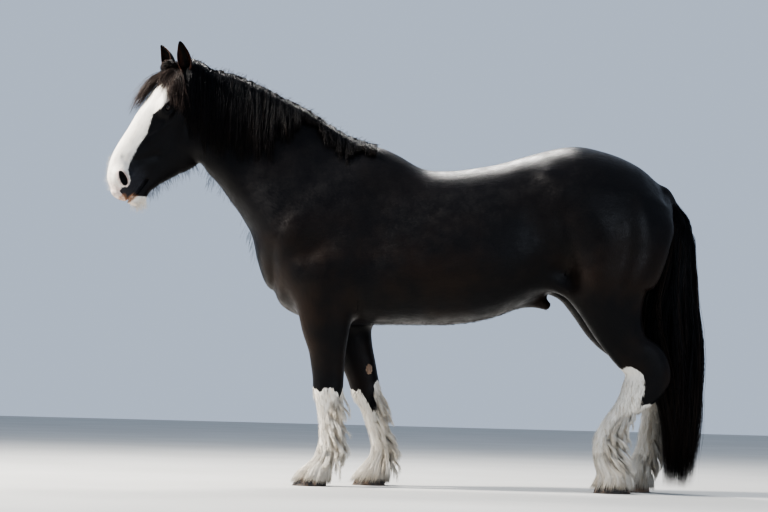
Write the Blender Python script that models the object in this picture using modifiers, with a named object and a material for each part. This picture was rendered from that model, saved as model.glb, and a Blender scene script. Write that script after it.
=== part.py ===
"""A shire horse standing at rest, life size, as a set of closed solids.

Metres, +Z up. The horse faces -X with its left side on -Y. The origin is the
middle of the bounding box in plan, on the ground that the hooves stand on.

The flesh is one smooth field: lofts of oval sections (trunk, neck, head, jaw,
legs) run together by smooth unions, with muscles and hollows added as soft
strokes along lines on both sides. A mesh is drawn onto the field, parted with
thin cuts into the body's named pieces, and each piece is closed.
"""
import math
import random

import bmesh
import bpy
import numpy as np
from mathutils import Matrix, Vector

# Driving dimensions
GAP = 0.0003
HEAD_PITCH = math.radians(25.2)
HEAD_YAW = math.radians(22.0)
POLL = (-1.184, -0.050, 2.190)
EYE_RADIUS = 0.021
EYE_PLACE = (0.278, 0.008, 0.104)
NOSTRIL_TURN = 0.92
KNEE_CUT = 0.560
ELBOW_CUT = 0.832
STIFLE_CUT = 0.985
HOCK_CUT = 0.745

# Coat colours, linear
BLACK = (0.012, 0.011, 0.012)
WHITE = (0.62, 0.60, 0.56)
HORN_DARK = (0.05, 0.05, 0.055)
HORN_PALE = (0.30, 0.22, 0.17)
EYE_BROWN = (0.02, 0.012, 0.008)

# Trunk sections: x, back line, belly line, half width, narrowing towards the back
TRUNK = (
    (-0.690, 1.380, 1.010, 0.150, 0.00),
    (-0.640, 1.480, 0.925, 0.220, 0.05),
    (-0.510, 1.580, 0.865, 0.262, 0.15),
    (-0.360, 1.680, 0.845, 0.282, 0.28),
    (-0.200, 1.745, 0.842, 0.296, 0.38),
    (-0.070, 1.728, 0.845, 0.313, 0.36),
    (0.070, 1.670, 0.848, 0.332, 0.26),
    (0.230, 1.668, 0.852, 0.345, 0.20),
    (0.380, 1.690, 0.874, 0.350, 0.17),
    (0.490, 1.714, 0.905, 0.347, 0.15),
    (0.600, 1.748, 0.952, 0.338, 0.12),
    (0.700, 1.778, 1.000, 0.328, 0.06),
    (0.800, 1.803, 1.053, 0.322, 0.00),
    (0.900, 1.812, 1.085, 0.325, -0.05),
    (1.010, 1.792, 1.110, 0.322, -0.05),
    (1.120, 1.758, 1.120, 0.305, 0.00),
    (1.220, 1.708, 1.150, 0.272, 0.00),
    (1.300, 1.642, 1.200, 0.205, 0.00),
    (1.345, 1.585, 1.270, 0.140, 0.00),
)

# Neck sections: crest x and z, throat x and z, y, half width, narrowing at the crest
NECK = (
    (-1.205, 2.105, -1.172, 1.735, -0.062, 0.078, 0.10),
    (-1.136, 2.140, -1.086, 1.664, -0.045, 0.098, 0.20),
    (-1.046, 2.156, -1.058, 1.624, -0.032, 0.104, 0.30),
    (-0.951, 2.146, -1.022, 1.588, -0.020, 0.113, 0.38),
    (-0.844, 2.106, -0.986, 1.548, -0.010, 0.124, 0.45),
    (-0.738, 2.057, -0.953, 1.504, -0.004, 0.138, 0.48),
    (-0.631, 2.006, -0.920, 1.458, 0.000, 0.155, 0.50),
    (-0.525, 1.955, -0.885, 1.413, 0.000, 0.175, 0.50),
    (-0.417, 1.886, -0.850, 1.358, 0.000, 0.198, 0.50),
    (-0.311, 1.828, -0.812, 1.297, 0.000, 0.220, 0.50),
    (-0.204, 1.785, -0.785, 1.240, 0.000, 0.238, 0.48),
    (-0.125, 1.755, -0.760, 1.188, 0.000, 0.246, 0.45),
    (-0.040, 1.700, -0.705, 1.130, 0.000, 0.236, 0.40),
    (0.060, 1.620, -0.630, 1.070, 0.000, 0.205, 0.30),
)

# Limb sections: x, y, z, then half sizes to the front, to the back and sideways
NEAR_FORE = (
    (-0.440, -0.205, 1.120, 0.150, 0.150, 0.080),
    (-0.420, -0.200, 0.950, 0.143, 0.145, 0.098),
    (-0.405, -0.193, 0.810, 0.127, 0.125, 0.090),
    (-0.396, -0.185, 0.710, 0.102, 0.101, 0.079),
    (-0.392, -0.180, 0.630, 0.090, 0.090, 0.070),
    (-0.388, -0.175, 0.555, 0.083, 0.083, 0.066),
    (-0.388, -0.172, 0.485, 0.080, 0.079, 0.070),
    (-0.388, -0.170, 0.425, 0.064, 0.064, 0.056),
    (-0.388, -0.170, 0.350, 0.052, 0.052, 0.043),
    (-0.386, -0.170, 0.250, 0.047, 0.048, 0.040),
    (-0.386, -0.170, 0.180, 0.056, 0.058, 0.052),
    (-0.406, -0.170, 0.128, 0.054, 0.052, 0.053),
    (-0.430, -0.170, 0.085, 0.064, 0.062, 0.070),
    (-0.442, -0.170, 0.040, 0.070, 0.066, 0.074),
)
FAR_FORE = (
    (-0.380, 0.205, 1.120, 0.150, 0.150, 0.080),
    (-0.315, 0.200, 0.950, 0.143, 0.145, 0.098),
    (-0.290, 0.193, 0.810, 0.127, 0.122, 0.090),
    (-0.260, 0.185, 0.710, 0.102, 0.103, 0.079),
    (-0.231, 0.180, 0.630, 0.090, 0.091, 0.070),
    (-0.208, 0.175, 0.555, 0.083, 0.083, 0.066),
    (-0.188, 0.172, 0.485, 0.080, 0.079, 0.070),
    (-0.167, 0.170, 0.425, 0.064, 0.062, 0.056),
    (-0.150, 0.170, 0.350, 0.052, 0.050, 0.043),
    (-0.122, 0.170, 0.250, 0.047, 0.048, 0.040),
    (-0.106, 0.170, 0.180, 0.056, 0.056, 0.052),
    (-0.122, 0.170, 0.128, 0.054, 0.052, 0.053),
    (-0.146, 0.170, 0.085, 0.064, 0.062, 0.070),
    (-0.158, 0.170, 0.040, 0.070, 0.066, 0.074),
)
NEAR_HIND = (
    (1.090, -0.165, 1.480, 0.240, 0.270, 0.105),
    (1.085, -0.190, 1.370, 0.240, 0.300, 0.120),
    (1.075, -0.205, 1.200, 0.235, 0.265, 0.127),
    (1.050, -0.205, 1.045, 0.192, 0.212, 0.120),
    (1.096, -0.192, 0.890, 0.144, 0.152, 0.098),
    (1.178, -0.172, 0.768, 0.128, 0.095, 0.078),
    (1.256, -0.157, 0.686, 0.130, 0.112, 0.066),
    (1.270, -0.150, 0.600, 0.130, 0.118, 0.062),
    (1.210, -0.150, 0.500, 0.092, 0.088, 0.056),
    (1.144, -0.150, 0.425, 0.060, 0.058, 0.047),
    (1.052, -0.153, 0.300, 0.054, 0.054, 0.044),
    (1.046, -0.156, 0.225, 0.060, 0.060, 0.054),
    (1.056, -0.158, 0.165, 0.060, 0.056, 0.056),
    (1.078, -0.160, 0.110, 0.068, 0.066, 0.070),
    (1.088, -0.160, 0.045, 0.074, 0.070, 0.076),
)
FAR_HIND = (
    (1.090, 0.165, 1.480, 0.240, 0.270, 0.105),
    (1.085, 0.190, 1.370, 0.240, 0.300, 0.120),
    (1.075, 0.205, 1.200, 0.235, 0.265, 0.127),
    (1.050, 0.205, 1.045, 0.192, 0.196, 0.120),
    (1.102, 0.192, 0.890, 0.144, 0.116, 0.098),
    (1.214, 0.172, 0.780, 0.122, 0.082, 0.078),
    (1.318, 0.157, 0.700, 0.108, 0.116, 0.066),
    (1.362, 0.150, 0.612, 0.103, 0.112, 0.062),
    (1.350, 0.150, 0.510, 0.075, 0.080, 0.056),
    (1.328, 0.150, 0.420, 0.056, 0.056, 0.046),
    (1.304, 0.153, 0.300, 0.052, 0.053, 0.043),
    (1.298, 0.156, 0.222, 0.060, 0.060, 0.054),
    (1.270, 0.158, 0.160, 0.057, 0.056, 0.055),
    (1.244, 0.160, 0.105, 0.068, 0.066, 0.070),
    (1.226, 0.160, 0.045, 0.074, 0.070, 0.076),
)
FLANK = (
    (0.740, -0.160, 1.100, 0.050, 0.050, 0.070),
    (0.835, -0.185, 1.055, 0.044, 0.044, 0.050),
    (0.930, -0.200, 1.010, 0.050, 0.050, 0.060),
)
SHEATH = (
    (0.580, 0.000, 1.020, 0.050, 0.050, 0.060),
    (0.680, 0.000, 1.000, 0.045, 0.045, 0.052),
    (0.748, 0.000, 0.968, 0.026, 0.026, 0.034),
)

# Head sections in the head's own frame: distance from the poll towards the lips,
# centre towards the front, half sizes to the front, to the back, sideways, narrowing
FACE = (
    (0.000, -0.050, 0.045, 0.060, 0.060, 0.00),
    (0.050, -0.030, 0.068, 0.100, 0.080, 0.00),
    (0.120, -0.015, 0.090, 0.140, 0.102, 0.05),
    (0.200, -0.010, 0.108, 0.150, 0.110, 0.05),
    (0.280, -0.010, 0.117, 0.140, 0.108, 0.10),
    (0.360, -0.005, 0.124, 0.120, 0.092, 0.20),
    (0.450, 0.005, 0.120, 0.110, 0.078, 0.22),
    (0.540, 0.020, 0.115, 0.110, 0.067, 0.18),
    (0.620, 0.028, 0.109, 0.110, 0.064, 0.10),
    (0.690, 0.022, 0.101, 0.095, 0.068, 0.00),
    (0.740, 0.015, 0.086, 0.073, 0.062, 0.00),
    (0.782, 0.005, 0.054, 0.050, 0.046, 0.00),
)
JAW = (
    (0.180, -0.120, 0.090, 0.080, 0.062, 0.00),
    (0.280, -0.150, 0.100, 0.115, 0.082, -0.10),
    (0.380, -0.160, 0.115, 0.140, 0.084, -0.12),
    (0.460, -0.150, 0.120, 0.138, 0.073, -0.15),
    (0.530, -0.125, 0.105, 0.110, 0.060, -0.15),
    (0.590, -0.110, 0.090, 0.082, 0.052, -0.10),
    (0.650, -0.095, 0.075, 0.058, 0.045, 0.00),
    (0.705, -0.085, 0.062, 0.047, 0.043, 0.00),
    (0.755, -0.080, 0.046, 0.054, 0.042, 0.00),
    (0.788, -0.072, 0.026, 0.036, 0.034, 0.00),
)

# Muscles and hollows seen from the side, on both sides:
# how far out or in, how wide, and the line they follow in x and z
STROKES = (
    (0.018, 0.070, ((-0.26, 1.40), (-0.34, 1.22), (-0.44, 1.08))),
    (0.014, 0.070, ((-0.58, 1.30), (-0.64, 1.20), (-0.62, 1.10))),
    (0.010, 0.085, ((-0.22, 1.62), (-0.38, 1.42), (-0.54, 1.26))),
    (-0.007, 0.050, ((-0.40, 1.70), (-0.56, 1.50), (-0.66, 1.36))),
    (-0.012, 0.050, ((-0.12, 1.30), (-0.20, 1.08), (-0.26, 0.94))),
    (-0.018, 0.090, ((0.66, 1.40), (0.72, 1.22))),
    (0.014, 0.055, ((0.72, 1.64), (0.80, 1.56))),
    (0.014, 0.090, ((0.92, 1.50), (1.02, 1.30), (0.98, 1.10))),
    (0.012, 0.070, ((1.22, 1.46), (1.24, 1.26), (1.18, 1.06))),
    (-0.006, 0.040, ((1.14, 1.52), (1.14, 1.28), (1.10, 1.08))),
    (-0.010, 0.050, ((0.80, 1.40), (0.84, 1.20), (0.86, 1.08))),
)


def curve_through(rows, steps):
    """Points of a Catmull-Rom curve through the rows, steps to each span."""
    rows = np.asarray(rows, dtype=float)
    first = 2.0 * rows[0] - rows[1]
    last = 2.0 * rows[-1] - rows[-2]
    padded = np.vstack([first, rows, last])
    result = []
    for i in range(len(rows) - 1):
        a, b, c, d = padded[i:i + 4]
        for step in range(steps):
            t = step / steps
            result.append(0.5 * (2.0 * b + (c - a) * t + (2.0 * a - 5.0 * b + 4.0 * c - d) * t ** 2
                                 + (3.0 * b - a - 3.0 * c + d) * t ** 3))
    result.append(rows[-1])
    return np.array(result)


def smooth_union(a, b, blend):
    """The smaller of two distances, rounded over where they are alike."""
    near = np.maximum(blend - np.abs(a - b), 0.0) / blend
    return np.minimum(a, b) - near * near * blend * 0.25


class Loft:
    """Oval sections along a line; its distance is that to their skin."""

    def __init__(self, centre, front_dir, along_dir, sizes, blend, power=2.0, caps=(0.05, 0.05)):
        self.centre = centre
        self.front_dir = front_dir
        self.along_dir = along_dir
        self.side_dir = np.cross(along_dir, front_dir)
        self.sizes = sizes
        self.blend = blend
        self.power = power
        self.caps = caps
        reach = sizes[:, :3].max(axis=1)[:, None] + max(caps) + 0.10
        self.low = (centre - reach).min(axis=0)
        self.high = (centre + reach).max(axis=0)

    def distance(self, points):
        result = np.full(len(points), 0.5)
        near = np.all((points > self.low) & (points < self.high), axis=1)
        index = np.nonzero(near)[0]
        for start in range(0, len(index), 20000):
            part = index[start:start + 20000]
            result[part] = self.distance_near(points[part])
        return result

    def distance_near(self, p):
        ahead = p @ self.along_dir.T - (self.centre * self.along_dir).sum(axis=1)
        middle = 0.5 * (self.centre[1:] + self.centre[:-1])
        away = (p * p).sum(axis=1)[:, None] - 2.0 * p @ middle.T + (middle * middle).sum(axis=1)
        between = (ahead[:, :-1] >= 0.0) & (ahead[:, 1:] < 0.0)
        found = between.any(axis=1)
        span = np.where(between, away, np.inf).argmin(axis=1)
        last = len(self.centre) - 2
        to_start = ((p - self.centre[0]) ** 2).sum(axis=1)
        to_end = ((p - self.centre[-1]) ** 2).sum(axis=1)
        at_start = ~found & (to_start <= to_end)
        at_end = ~found & ~at_start
        span[at_start] = 0
        span[at_end] = last
        rows = np.arange(len(p))
        before = ahead[rows, span]
        after = ahead[rows, span + 1]
        t = before / np.where(np.abs(before - after) < 1e-9, 1e-9, before - after)
        t[at_start] = 0.0
        t[at_end] = 1.0
        t = np.clip(t, 0.0, 1.0)[:, None]
        centre = self.centre[span] * (1.0 - t) + self.centre[span + 1] * t
        front_dir = self.front_dir[span] * (1.0 - t) + self.front_dir[span + 1] * t
        side_dir = self.side_dir[span] * (1.0 - t) + self.side_dir[span + 1] * t
        sizes = self.sizes[span] * (1.0 - t) + self.sizes[span + 1] * t
        offset = p - centre
        v = (offset * front_dir).sum(axis=1)
        w = (offset * side_dir).sum(axis=1)
        deep = np.where(v > 0.0, sizes[:, 0], sizes[:, 1])
        wide = sizes[:, 2] * (1.0 - sizes[:, 3] * np.clip(v / deep, -1.0, 1.0))
        power = self.power
        a = np.abs(v) / deep
        b = np.abs(w) / wide
        rho = np.maximum((a ** power + b ** power) ** (1.0 / power), 0.15)
        slope = np.hypot(a ** (power - 1.0) / deep, b ** (power - 1.0) / wide) * rho ** (1.0 - power)
        cap = np.zeros(len(p))
        reach = np.ones(len(p))
        cap[at_start] = -ahead[at_start, 0] / self.caps[0]
        cap[at_end] = ahead[at_end, -1] / self.caps[1]
        reach[at_start] = self.caps[0]
        reach[at_end] = self.caps[1]
        cap = np.maximum(cap, 0.0)
        total = np.hypot(rho, cap)
        slope = np.hypot(rho * slope, cap / reach) / total
        return (total - 1.0) / np.maximum(slope, 1.0)


def unit(v):
    return v / np.linalg.norm(v, axis=-1, keepdims=True)


def trunk_loft():
    rows = curve_through(TRUNK, 4)
    x, top, bottom, wide, narrowing = rows.T
    middle = bottom + 0.46 * (top - bottom)
    centre = np.column_stack([x, np.zeros_like(x), middle])
    sizes = np.column_stack([top - middle, middle - bottom, wide, narrowing])
    front_dir = np.tile((0.0, 0.0, 1.0), (len(x), 1))
    along_dir = np.tile((1.0, 0.0, 0.0), (len(x), 1))
    return Loft(centre, front_dir, along_dir, sizes, 0.05, 2.15, (0.075, 0.06))


def neck_loft():
    rows = curve_through(NECK, 4)
    crest = np.column_stack([rows[:, 0], rows[:, 4], rows[:, 1]])
    throat = np.column_stack([rows[:, 2], rows[:, 4], rows[:, 3]])
    centre = throat + 0.42 * (crest - throat)
    up = unit(crest - throat)
    along = np.column_stack([up[:, 2], np.zeros(len(rows)), -up[:, 0]])
    high = np.linalg.norm(crest - centre, axis=1)
    low = np.linalg.norm(throat - centre, axis=1)
    sizes = np.column_stack([high, low, rows[:, 5], rows[:, 6]])
    return Loft(centre, up, along, sizes, 0.10, 2.1, (0.05, 0.10))


def limb_loft(table, blend, caps=(0.08, 0.02)):
    rows = curve_through(table, 4)
    centre = rows[:, :3]
    tangent = np.gradient(centre, axis=0)
    along = unit(tangent)
    front = unit(np.column_stack([along[:, 2], np.zeros(len(rows)), -along[:, 0]]))
    sizes = np.column_stack([rows[:, 3], rows[:, 4], rows[:, 5], np.zeros(len(rows))])
    return Loft(centre, front, along, sizes, blend, 2.2, caps)


# The head's own directions: from poll to lips, towards the forehead, to the left
FORWARD = np.array((-math.cos(HEAD_YAW), -math.sin(HEAD_YAW), 0.0))
HEAD_LEFT = np.array((math.sin(HEAD_YAW), -math.cos(HEAD_YAW), 0.0))
DOWN = np.array((0.0, 0.0, -1.0))
HEAD_ALONG = FORWARD * math.sin(HEAD_PITCH) + DOWN * math.cos(HEAD_PITCH)
HEAD_FRONT = FORWARD * math.cos(HEAD_PITCH) - DOWN * math.sin(HEAD_PITCH)
HEAD_ORIGIN = np.array(POLL)


def head_point(along, front, left):
    """A point given in the head's own frame."""
    return HEAD_ORIGIN + along * HEAD_ALONG + front * HEAD_FRONT + left * HEAD_LEFT


def in_head(points):
    """Each point's distances along, to the front and to the left of the poll."""
    offset = points - HEAD_ORIGIN
    return offset @ HEAD_ALONG, offset @ HEAD_FRONT, offset @ HEAD_LEFT


def head_loft(table, blend, power, caps):
    rows = curve_through(table, 4)
    centre = HEAD_ORIGIN + np.outer(rows[:, 0], HEAD_ALONG) + np.outer(rows[:, 1], HEAD_FRONT)
    count = len(rows)
    return Loft(centre, np.tile(HEAD_FRONT, (count, 1)), np.tile(HEAD_ALONG, (count, 1)),
                rows[:, 2:6], blend, power, caps)


def ellipsoid(points, centre, radii, turn=0.0):
    """Distance to an ellipsoid in the head's own frame, the same on both sides.

    turn is how far its first radius turns from the lips towards the throat."""
    along, front, left = in_head(points)
    a = along - centre[0]
    b = front - centre[1]
    offset = np.column_stack([a * math.cos(turn) - b * math.sin(turn), a * math.sin(turn) + b * math.cos(turn),
                              np.abs(left) - centre[2]])
    scaled = offset / np.asarray(radii)
    rho = np.maximum(np.linalg.norm(scaled, axis=1), 0.15)
    slope = np.linalg.norm(scaled / np.asarray(radii), axis=1) / rho
    return (rho - 1.0) / np.maximum(slope, 1.0)


def from_line(a, b, line, steps=6):
    """Distance in a plane from each point to a smooth line."""
    dense = curve_through(line, steps)
    best = np.full(len(a), np.inf)
    for start, end in zip(dense[:-1], dense[1:]):
        run = end - start
        t = ((a - start[0]) * run[0] + (b - start[1]) * run[1]) / (run @ run)
        t = np.clip(t, 0.0, 1.0)
        best = np.minimum(best, np.hypot(a - start[0] - t * run[0], b - start[1] - t * run[1]))
    return best


def muscles(points):
    """How far the muscles and hollows of the body push the skin out."""
    side = np.clip(np.abs(points[:, 1]) / 0.12, 0.0, 1.0)
    push = np.zeros(len(points))
    for height, width, line in STROKES:
        away = from_line(points[:, 0], points[:, 2], line)
        push += height * np.exp(-(away / width) ** 2)
    return push * side * side * (3.0 - 2.0 * side)


# Lines on the side of the head: height, width, and points along and to the front
HEAD_STROKES = (
    (0.005, 0.018, ((0.300, -0.020), (0.380, -0.012), (0.470, 0.004))),
    (0.010, 0.022, ((0.186, 0.044), (0.231, 0.046), (0.278, 0.044), (0.316, 0.030))),
    (-0.008, 0.020, ((0.136, 0.024), (0.186, 0.014), (0.216, 0.010))),
    (0.006, 0.030, ((0.300, -0.110), (0.380, -0.150), (0.420, -0.210))),
    (-0.006, 0.022, ((0.520, -0.060), (0.560, -0.020), (0.600, 0.020))),
    (-0.006, 0.014, ((0.655, 0.020), (0.630, 0.055), (0.615, 0.085))),
    (0.005, 0.012, ((0.231, -0.016), (0.278, -0.024), (0.316, -0.012))),
)
MOUTH_LINE = ((0.654, -0.080), (0.708, -0.070), (0.756, -0.058), (0.788, -0.047), (0.820, -0.040))


def head_relief(points):
    """How far the lines of the face push its skin out, on both sides."""
    along, front, left = in_head(points)
    side = np.clip((np.abs(left) - 0.012) / 0.04, 0.0, 1.0)
    push = np.zeros(len(points))
    for height, width, line in HEAD_STROKES:
        push += height * np.exp(-(from_line(along, front, line) / width) ** 2)
    push *= side
    mouth = from_line(along, front, MOUTH_LINE)
    push -= 0.010 * np.exp(-(mouth / 0.0065) ** 2)
    return push


LOFTS = None


def lofts():
    """Every loft of the flesh, made once: the trunk first, then what joins it."""
    global LOFTS
    if LOFTS is None:
        LOFTS = {
            "trunk": trunk_loft(),
            "neck": neck_loft(),
            "near_fore": limb_loft(NEAR_FORE, 0.08),
            "far_fore": limb_loft(FAR_FORE, 0.08),
            "near_hind": limb_loft(NEAR_HIND, 0.10),
            "far_hind": limb_loft(FAR_HIND, 0.10),
            "near_flank": limb_loft(FLANK, 0.07, (0.03, 0.03)),
            "far_flank": limb_loft([(row[0], -row[1], *row[2:]) for row in FLANK], 0.07, (0.03, 0.03)),
            "sheath": limb_loft(SHEATH, 0.05, (0.04, 0.02)),
            "face": head_loft(FACE, 0.06, 2.3, (0.04, 0.030)),
            "jaw": head_loft(JAW, 0.035, 2.2, (0.05, 0.016)),
        }
    return LOFTS


def flesh(points):
    """Signed distance to the skin: negative inside."""
    value = None
    for loft in lofts().values():
        away = loft.distance(points)
        value = away if value is None else smooth_union(value, away, loft.blend)
    value = value - muscles(points)
    near_head = np.nonzero(in_head(points)[2] ** 2 + in_head(points)[1] ** 2 < 0.35 ** 2)[0]
    if len(near_head):
        head = points[near_head]
        local = value[near_head]
        swell = ellipsoid(head, (0.712, 0.050, 0.044), (0.052, 0.040, 0.031), NOSTRIL_TURN)
        local = smooth_union(local, swell, 0.03)
        local = smooth_union(local, ellipsoid(head, (0.278, 0.010, 0.086), (0.044, 0.036, 0.036)), 0.03)
        local = local - head_relief(head)
        nostril = ellipsoid(head, (0.714, 0.045, 0.084), (0.034, 0.015, 0.036), NOSTRIL_TURN)
        local = -smooth_union(-local, nostril, 0.008)
        value[near_head] = local
    return value


def tube(loft, sides=20, share=0.97):
    """Vertices and faces of a closed tube through a loft's sections."""
    points = []
    faces = []
    count = len(loft.centre)
    for i in range(count):
        front, back, wide, _ = loft.sizes[i] * share
        for k in range(sides):
            angle = 2.0 * math.pi * k / sides
            deep = front if math.cos(angle) > 0.0 else back
            points.append(loft.centre[i] + loft.front_dir[i] * deep * math.cos(angle)
                          + loft.side_dir[i] * wide * math.sin(angle))
    for i in range(count - 1):
        for k in range(sides):
            n = (k + 1) % sides
            faces.append((i * sides + k, i * sides + n, (i + 1) * sides + n, (i + 1) * sides + k))
    faces.append(tuple(range(sides - 1, -1, -1)))
    faces.append(tuple(range((count - 1) * sides, count * sides)))
    return points, faces


def new_object(name, points, faces, collection=None):
    mesh = bpy.data.meshes.new(name)
    mesh.from_pydata([tuple(p) for p in points], [], faces)
    obj = bpy.data.objects.new(name, mesh)
    (collection or bpy.context.scene.collection).objects.link(obj)
    return obj


def make_real(obj):
    """Give an object the mesh that its modifiers make, and clear them."""
    depsgraph = bpy.context.evaluated_depsgraph_get()
    mesh = bpy.data.meshes.new_from_object(obj.evaluated_get(depsgraph))
    old = obj.data
    obj.modifiers.clear()
    obj.data = mesh
    bpy.data.meshes.remove(old)


def vertex_array(mesh):
    flat = np.empty(len(mesh.vertices) * 3, dtype=np.float32)
    mesh.vertices.foreach_get("co", flat)
    return flat.reshape(-1, 3).astype(float)


def normal_array(mesh):
    flat = np.empty(len(mesh.vertices) * 3, dtype=np.float32)
    mesh.vertex_normals.foreach_get("vector", flat)
    return flat.reshape(-1, 3).astype(float)


def set_vertices(mesh, points):
    mesh.vertices.foreach_set("co", points.astype(np.float32).ravel())
    mesh.update()


def smooth_step(mesh, share):
    """Move every vertex part of the way to the middle of its neighbours."""
    points = vertex_array(mesh)
    edges = np.empty(len(mesh.edges) * 2, dtype=np.int32)
    mesh.edges.foreach_get("vertices", edges)
    edges = edges.reshape(-1, 2)
    total = np.zeros_like(points)
    count = np.zeros(len(points))
    for a, b in ((0, 1), (1, 0)):
        np.add.at(total, edges[:, a], points[edges[:, b]])
        np.add.at(count, edges[:, a], 1.0)
    middle = total / count[:, None]
    set_vertices(mesh, points + share * (middle - points))


def slope_array(points, field, step=0.002):
    """Unit directions in which a field rises."""
    here = field(points)
    rise = [field(points + step * axis) - here for axis in np.eye(3)]
    return here, unit(np.column_stack(rise) + 1e-9)


def draw_onto(mesh, field, rounds, most):
    """Move a mesh's vertices along their normals towards the zero of a field."""
    for _ in range(rounds):
        points = vertex_array(mesh)
        step = np.clip(field(points), -most, most)
        set_vertices(mesh, points - normal_array(mesh) * step[:, None])


def settle_onto(mesh, field, rounds, most):
    """Move a mesh's vertices down or up a field's own slope, onto its zero."""
    for _ in range(rounds):
        points = vertex_array(mesh)
        here, slope = slope_array(points, field)
        set_vertices(mesh, points - slope * np.clip(here, -most, most)[:, None])


def skin_object(name, loft_names, voxel, rounds=6):
    """One closed mesh on the flesh field, from the tubes of some lofts."""
    points = []
    faces = []
    for loft_name in loft_names:
        some, rings = tube(lofts()[loft_name])
        start = len(points)
        points.extend(some)
        faces.extend(tuple(i + start for i in face) for face in rings)
    obj = new_object(name, points, faces)
    remesh = obj.modifiers.new("remesh", "REMESH")
    remesh.mode = "VOXEL"
    remesh.voxel_size = voxel
    make_real(obj)
    keep_largest(obj, split=False)
    for _ in range(12):
        smooth_step(obj.data, 0.5)
    for _ in range(rounds):
        draw_onto(obj.data, flesh, 1, 1.5 * voxel)
        smooth_step(obj.data, 0.5)
        smooth_step(obj.data, 0.5)
    for _ in range(2):
        settle_onto(obj.data, flesh, 1, voxel)
        smooth_step(obj.data, 0.4)
    settle_onto(obj.data, flesh, 2, voxel)
    return obj


def add_modifier_boolean(obj, other, operation, solver="MANIFOLD"):
    """Cut or join one mesh with another, and keep the result as the mesh."""
    boolean = obj.modifiers.new("boolean", "BOOLEAN")
    boolean.operation = operation
    boolean.solver = solver
    boolean.object = other
    make_real(obj)


def remove(obj):
    mesh = obj.data
    bpy.data.objects.remove(obj)
    bpy.data.meshes.remove(mesh)


def keep_largest(obj, split=True):
    """Keep only the largest closed surface of a mesh, its faces split into triangles if asked."""
    work = bmesh.new()
    work.from_mesh(obj.data)
    left = set(work.verts)
    groups = []
    while left:
        group = {left.pop()}
        edge = list(group)
        while edge:
            vertex = edge.pop()
            for link in vertex.link_edges:
                other = link.other_vert(vertex)
                if other in left:
                    left.remove(other)
                    group.add(other)
                    edge.append(other)
        groups.append(group)
    groups.sort(key=len)
    loose = [vertex for group in groups[:-1] for vertex in group]
    bmesh.ops.delete(work, geom=loose, context="VERTS")
    if split:
        bmesh.ops.remove_doubles(work, verts=work.verts, dist=0.00002)
        bmesh.ops.triangulate(work, faces=work.faces)
    work.to_mesh(obj.data)
    work.free()


def copy_of(obj, name, grow=0.0):
    """A copy of an object, its skin moved out along its normals."""
    mesh = obj.data.copy()
    other = bpy.data.objects.new(name, mesh)
    bpy.context.scene.collection.objects.link(other)
    if grow:
        set_vertices(mesh, vertex_array(mesh) + grow * normal_array(mesh))
    return other


def block(name, low, high):
    """A box between two corners, as a cutter."""
    bpy.ops.mesh.primitive_cube_add(size=1.0)
    obj = bpy.context.active_object
    obj.name = name
    low = Vector(low)
    high = Vector(high)
    obj.data.transform(Matrix.Translation((low + high) / 2.0) @ Matrix.Diagonal((*(high - low), 1.0)))
    return obj


def half_space(name, first, second, shift):
    """A big block on the head side of the upright plane through two points of x and z."""
    run = Vector((second[0] - first[0], 0.0, second[1] - first[1])).normalized()
    away = Vector((run.z, 0.0, -run.x))
    if away.x > 0.0:
        away = -away
    middle = Vector((0.5 * (first[0] + second[0]), 0.0, 0.5 * (first[1] + second[1])))
    bpy.ops.mesh.primitive_cube_add(size=4.0)
    obj = bpy.context.active_object
    obj.name = name
    turn = Matrix((away, (0.0, 1.0, 0.0), run)).transposed().to_4x4()
    obj.data.transform(Matrix.Translation(middle + away * (2.0 + shift)) @ turn)
    work = bmesh.new()
    work.from_mesh(obj.data)
    bmesh.ops.recalc_face_normals(work, faces=work.faces)
    work.to_mesh(obj.data)
    work.free()
    return obj


def decimate(obj, triangles):
    """Thin a mesh out to about so many triangles."""
    obj.data.calc_loop_triangles()
    modifier = obj.modifiers.new("decimate", "DECIMATE")
    modifier.ratio = min(1.0, triangles / len(obj.data.loop_triangles))
    make_real(obj)


def cut_to(obj, cutters, operation):
    for cutter in cutters:
        add_modifier_boolean(obj, cutter, operation)


# Where the body is parted: two points of x and z on each upright plane
HEAD_CUT = ((-1.128, 2.185), (-1.074, 1.670))
NECK_CUT = ((-0.125, 1.769), (-0.774, 1.225))
FORE_REACH = (-0.80, 0.00)
HIND_REACH = (0.795, 1.70)

LEGS = {
    "foreleg_left": (NEAR_FORE, -1.0, FORE_REACH, ELBOW_CUT, KNEE_CUT),
    "foreleg_right": (FAR_FORE, 1.0, FORE_REACH, ELBOW_CUT, KNEE_CUT),
    "hindleg_left": (NEAR_HIND, -1.0, HIND_REACH, STIFLE_CUT, HOCK_CUT),
    "hindleg_right": (FAR_HIND, 1.0, HIND_REACH, STIFLE_CUT, HOCK_CUT),
}
# Each hoof: x and y of its middle, how high its top stands in front and behind,
# half its length on the ground, half its width, and how far its top lies back
HOOVES = {
    "foreleg_left": (-0.470, -0.170, 0.100, 0.070, 0.092, 0.090, 0.032),
    "foreleg_right": (-0.164, 0.170, 0.100, 0.070, 0.090, 0.090, 0.030),
    "hindleg_left": (1.098, -0.160, 0.108, 0.072, 0.100, 0.088, 0.012),
    "hindleg_right": (1.236, 0.160, 0.104, 0.070, 0.094, 0.088, 0.020),
}


def hoof_ring(leg, share):
    """One level of a hoof, from its sole (0) to its top (1): centre, sizes, front and back height."""
    x, y, front_high, back_high, long, wide, lie_back = HOOVES[leg]
    narrow = 1.0 - 0.22 * share
    sizes = (long * (1.0 - 0.26 * share), wide * narrow)
    return (x + lie_back * share, y), sizes, front_high * share, back_high * share


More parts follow.
